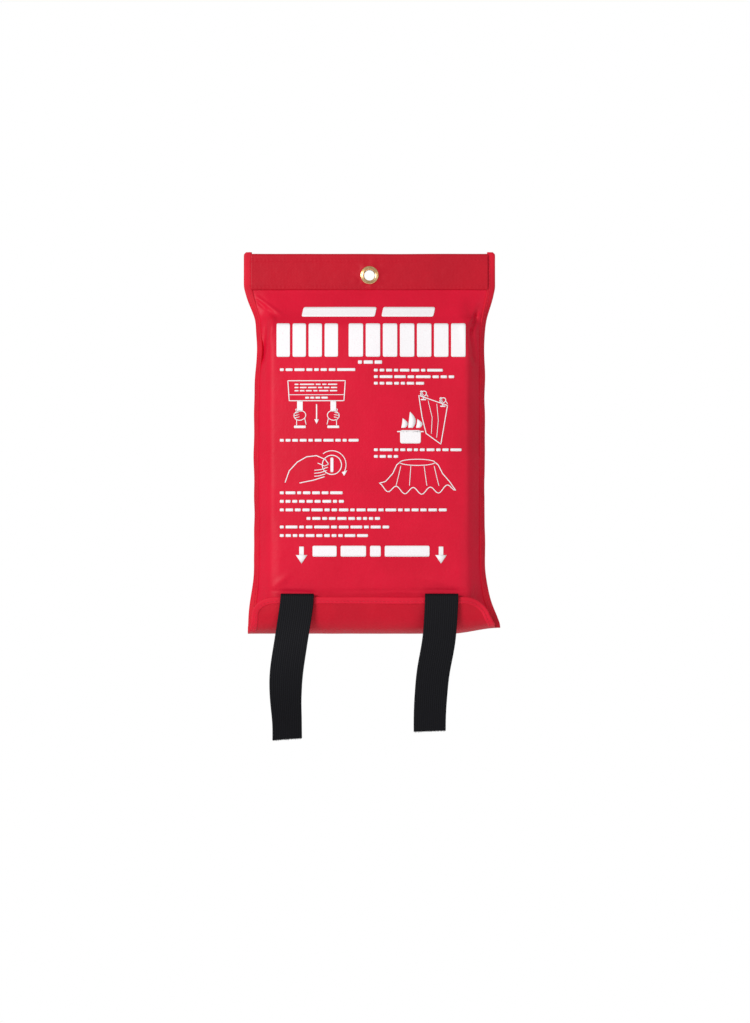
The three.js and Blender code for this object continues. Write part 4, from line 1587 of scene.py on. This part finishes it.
def flame(ink, x, z, size):
    """Three plain tongues of fire."""
    for offset, height, width in ((-0.5, 0.66, 0.2), (0.0, 1.1, 0.24), (0.5, 0.6, 0.2)):
        rise = np.linspace(0, 1, 14)
        spread = width * np.sin(math.pi * (0.22 + 0.78 * rise)) ** 0.9
        lean = offset + 0.12 * np.sin(3.4 * rise)
        edges = (lean - spread, lean + spread)
        ink.strip(*(np.stack([x + edge * size, z + height * rise * size], axis=1) for edge in edges))


def print_covering(ink):
    """A burning pot and a blanket held up in front of it."""
    ink.block(23, 38.5, -127.5, -117.5, corner=1.4)
    ink.stroke([(21.2, -118.6), (40.3, -118.6)], 0.9)
    flame(ink, 30.8, -115.8, 11.0)
    ink.stroke([(37, -91.5), (58.5, -99), (53.5, -128), (42.5, -120), (39.5, -108)], 0.7, closed=True)
    ink.stroke([(44, -95.5), (47, -108), (46.4, -120)], 0.45)
    ink.stroke([(50.5, -98), (51.6, -110), (50.4, -123)], 0.45)
    for x, z in ((40.5, -90.2), (55.0, -95.2)):
        mitten(ink, x, z, 3.7, 1, 0.5)


def print_turning_off(ink):
    """A knob, a hand on it and a curved arrow."""
    knob = (-28, -143.5)
    ink.stroke(oval(*knob, 7.2, 7.2, 30), 0.7, closed=True)
    ink.block(-29.1, -26.9, -149, -138, corner=0.6)
    ink.stroke(arc(knob, 10.6, 128, -28, 16), 0.6)
    ink.fill([(-20.6, -149.0), (-16.4, -147.4), (-18.9, -151.8)])
    back = [(-63, -156.5), (-60, -148), (-54, -141.5), (-47, -137.5), (-39.5, -136.6), (-33, -139.5)]
    ink.stroke(back + [(-30.5, -143)], 0.7)
    ink.stroke([(-30.5, -143), (-33.4, -144.4), (-38.5, -142.2)], 0.6)
    for k in range(3):
        tip, knuckle = (-31.2 - 0.8 * k, -145.3 - 2.5 * k), (-36 - k, -147 - 2.4 * k)
        ink.stroke([tip, knuckle, (-41, -147.6 - 2.2 * k)], 0.6)
    ink.stroke([(-33.6, -152.4), (-42, -155), (-52, -157)], 0.7)


def print_leaving(ink):
    """A pot left under a draped blanket."""
    edge = []
    for t in np.linspace(0, 1, 41):
        x = 7.5 + 57 * t
        z = -163.0 + 2.6 * math.cos(2 * math.pi * 4.5 * t) + 3.2 * (2 * abs(t - 0.5)) ** 2
        edge.append((x, z))
    ink.stroke(edge, 0.7)
    ink.stroke([edge[0], (12, -156), (17.5, -150), (20.5, -143.5), (23, -141.5)], 0.7)
    ink.stroke([edge[-1], (60, -156), (54.8, -150), (51.5, -143.5), (49, -141.5)], 0.7)
    ink.stroke(oval(36, -141.6, 13.2, 2.3, 30), 0.6, closed=True)
    for x0, x1 in ((23.5, 20), (31, 30), (41, 43), (48.5, 52)):
        ink.stroke([(x0, -144.5), ((x0 + x1) / 2, -152), (x1, -159)], 0.5)


def print_steps(panel):
    ink = Print(panel)
    small = 2.1
    ink.words(-67, -10.5, -72.2, small, 2.0)
    for k, right in enumerate((55, 63.5, 41)):
        ink.words(3.4, right, -72.6 - 4.9 * k, small, 5.0 + k)
    ink.words(-67, -8, -125.1, small, 12.0)
    ink.words(3.4, 69.0, -132.2, small, 13.0)
    ink.words(3.4, 21.5, -137.2, small, 14.0)
    print_pulling(ink)
    print_covering(ink)
    print_turning_off(ink)
    print_leaving(ink)
    ink.piece("print_steps")


def print_notes(panel):
    ink = Print(panel)
    lines = [(-67, -20), (-67, -19), (-67, 57.9), (-47, 8), (-67, 14.8), (-67, -1)]
    for k, (left, right) in enumerate(lines):
        ink.words(left, right, -164.4 - 6.4 * k, 2.2, 20.0 + k)
    top, bottom = -204.0, -212.2
    for left, right in ((-42.5, -24.5), (-21.5, -2.5), (0.5, 8.5), (11.5, 45)):
        ink.block(left, right, bottom, top, corner=0.9)
    for x in (-50.8, 53.6):
        ink.arrow(x, -204.6, -217.4, 3.4, 8.6, 6.4)
    ink.piece("print_notes")


print_headline(front_panel)
print_steps(front_panel)
print_notes(front_panel)


# ---- Camera, lights and floor -------------------------------------------------------------------

def add_camera():
    data = bpy.data.cameras.new("camera")
    data.sensor_width = 36
    data.lens = 93.0
    data.clip_end = 50
    camera = bpy.data.objects.new("camera", data)
    camera.location = (0.0042, -2.0, -0.1784)
    camera.rotation_euler = (math.pi / 2, 0, 0)
    scene.collection.objects.link(camera)
    scene.camera = camera


def add_light(name, place, target, size, power):
    data = bpy.data.lights.new(name, "AREA")
    data.shape = "DISK"
    data.size = size
    data.energy = power
    light = bpy.data.objects.new(name, data)
    light.location = place
    light.rotation_euler = (Vector(target) - Vector(place)).to_track_quat("-Z", "Y").to_euler()
    scene.collection.objects.link(light)


def add_world():
    """White all round: soft light on the object, and a plain backdrop for the camera."""
    world = bpy.data.worlds.new("studio")
    world.use_nodes = True
    tree = world.node_tree
    light, seen = tree.nodes["Background"], tree.nodes.new("ShaderNodeBackground")
    for background, strength in ((light, 0.42), (seen, 1.0)):
        background.inputs["Color"].default_value = (1, 1, 1, 1)
        background.inputs["Strength"].default_value = strength
    path = tree.nodes.new("ShaderNodeLightPath")
    mix = tree.nodes.new("ShaderNodeMixShader")
    tree.links.new(path.outputs["Is Camera Ray"], mix.inputs[0])
    tree.links.new(light.outputs[0], mix.inputs[1])
    tree.links.new(seen.outputs[0], mix.inputs[2])
    tree.links.new(mix.outputs[0], tree.nodes["World Output"].inputs["Surface"])
    scene.world = world


def add_floor():
    nodes = Nodes("pale_floor")
    glow = {"Emission_Color": (1, 1, 1, 1), "Emission_Strength": 0.32}
    nodes.finish(Base_Color=(0.9, 0.9, 0.9, 1), Roughness=0.9, **glow)
    mesh = bpy.data.meshes.new("floor")
    reach, level = 1.5, -1.2
    corners = [(x * reach, y * reach, level) for x, y in ((-1, -1), (1, -1), (1, 1), (-1, 1))]
    mesh.from_pydata(corners, [], [(0, 1, 2, 3)])
    mesh.materials.append(nodes.material)
    floor = bpy.data.objects.new("floor", mesh)
    scene.collection.objects.link(floor)


add_camera()
target = (0, 0, -0.15)
add_light("key", (-0.95, -1.15, 0.25), target, 0.7, 14.2)
add_light("fill", (1.3, -1.6, 0.1), target, 1.4, 4.5)
add_world()
add_floor()
scene.view_settings.view_transform = "Standard"
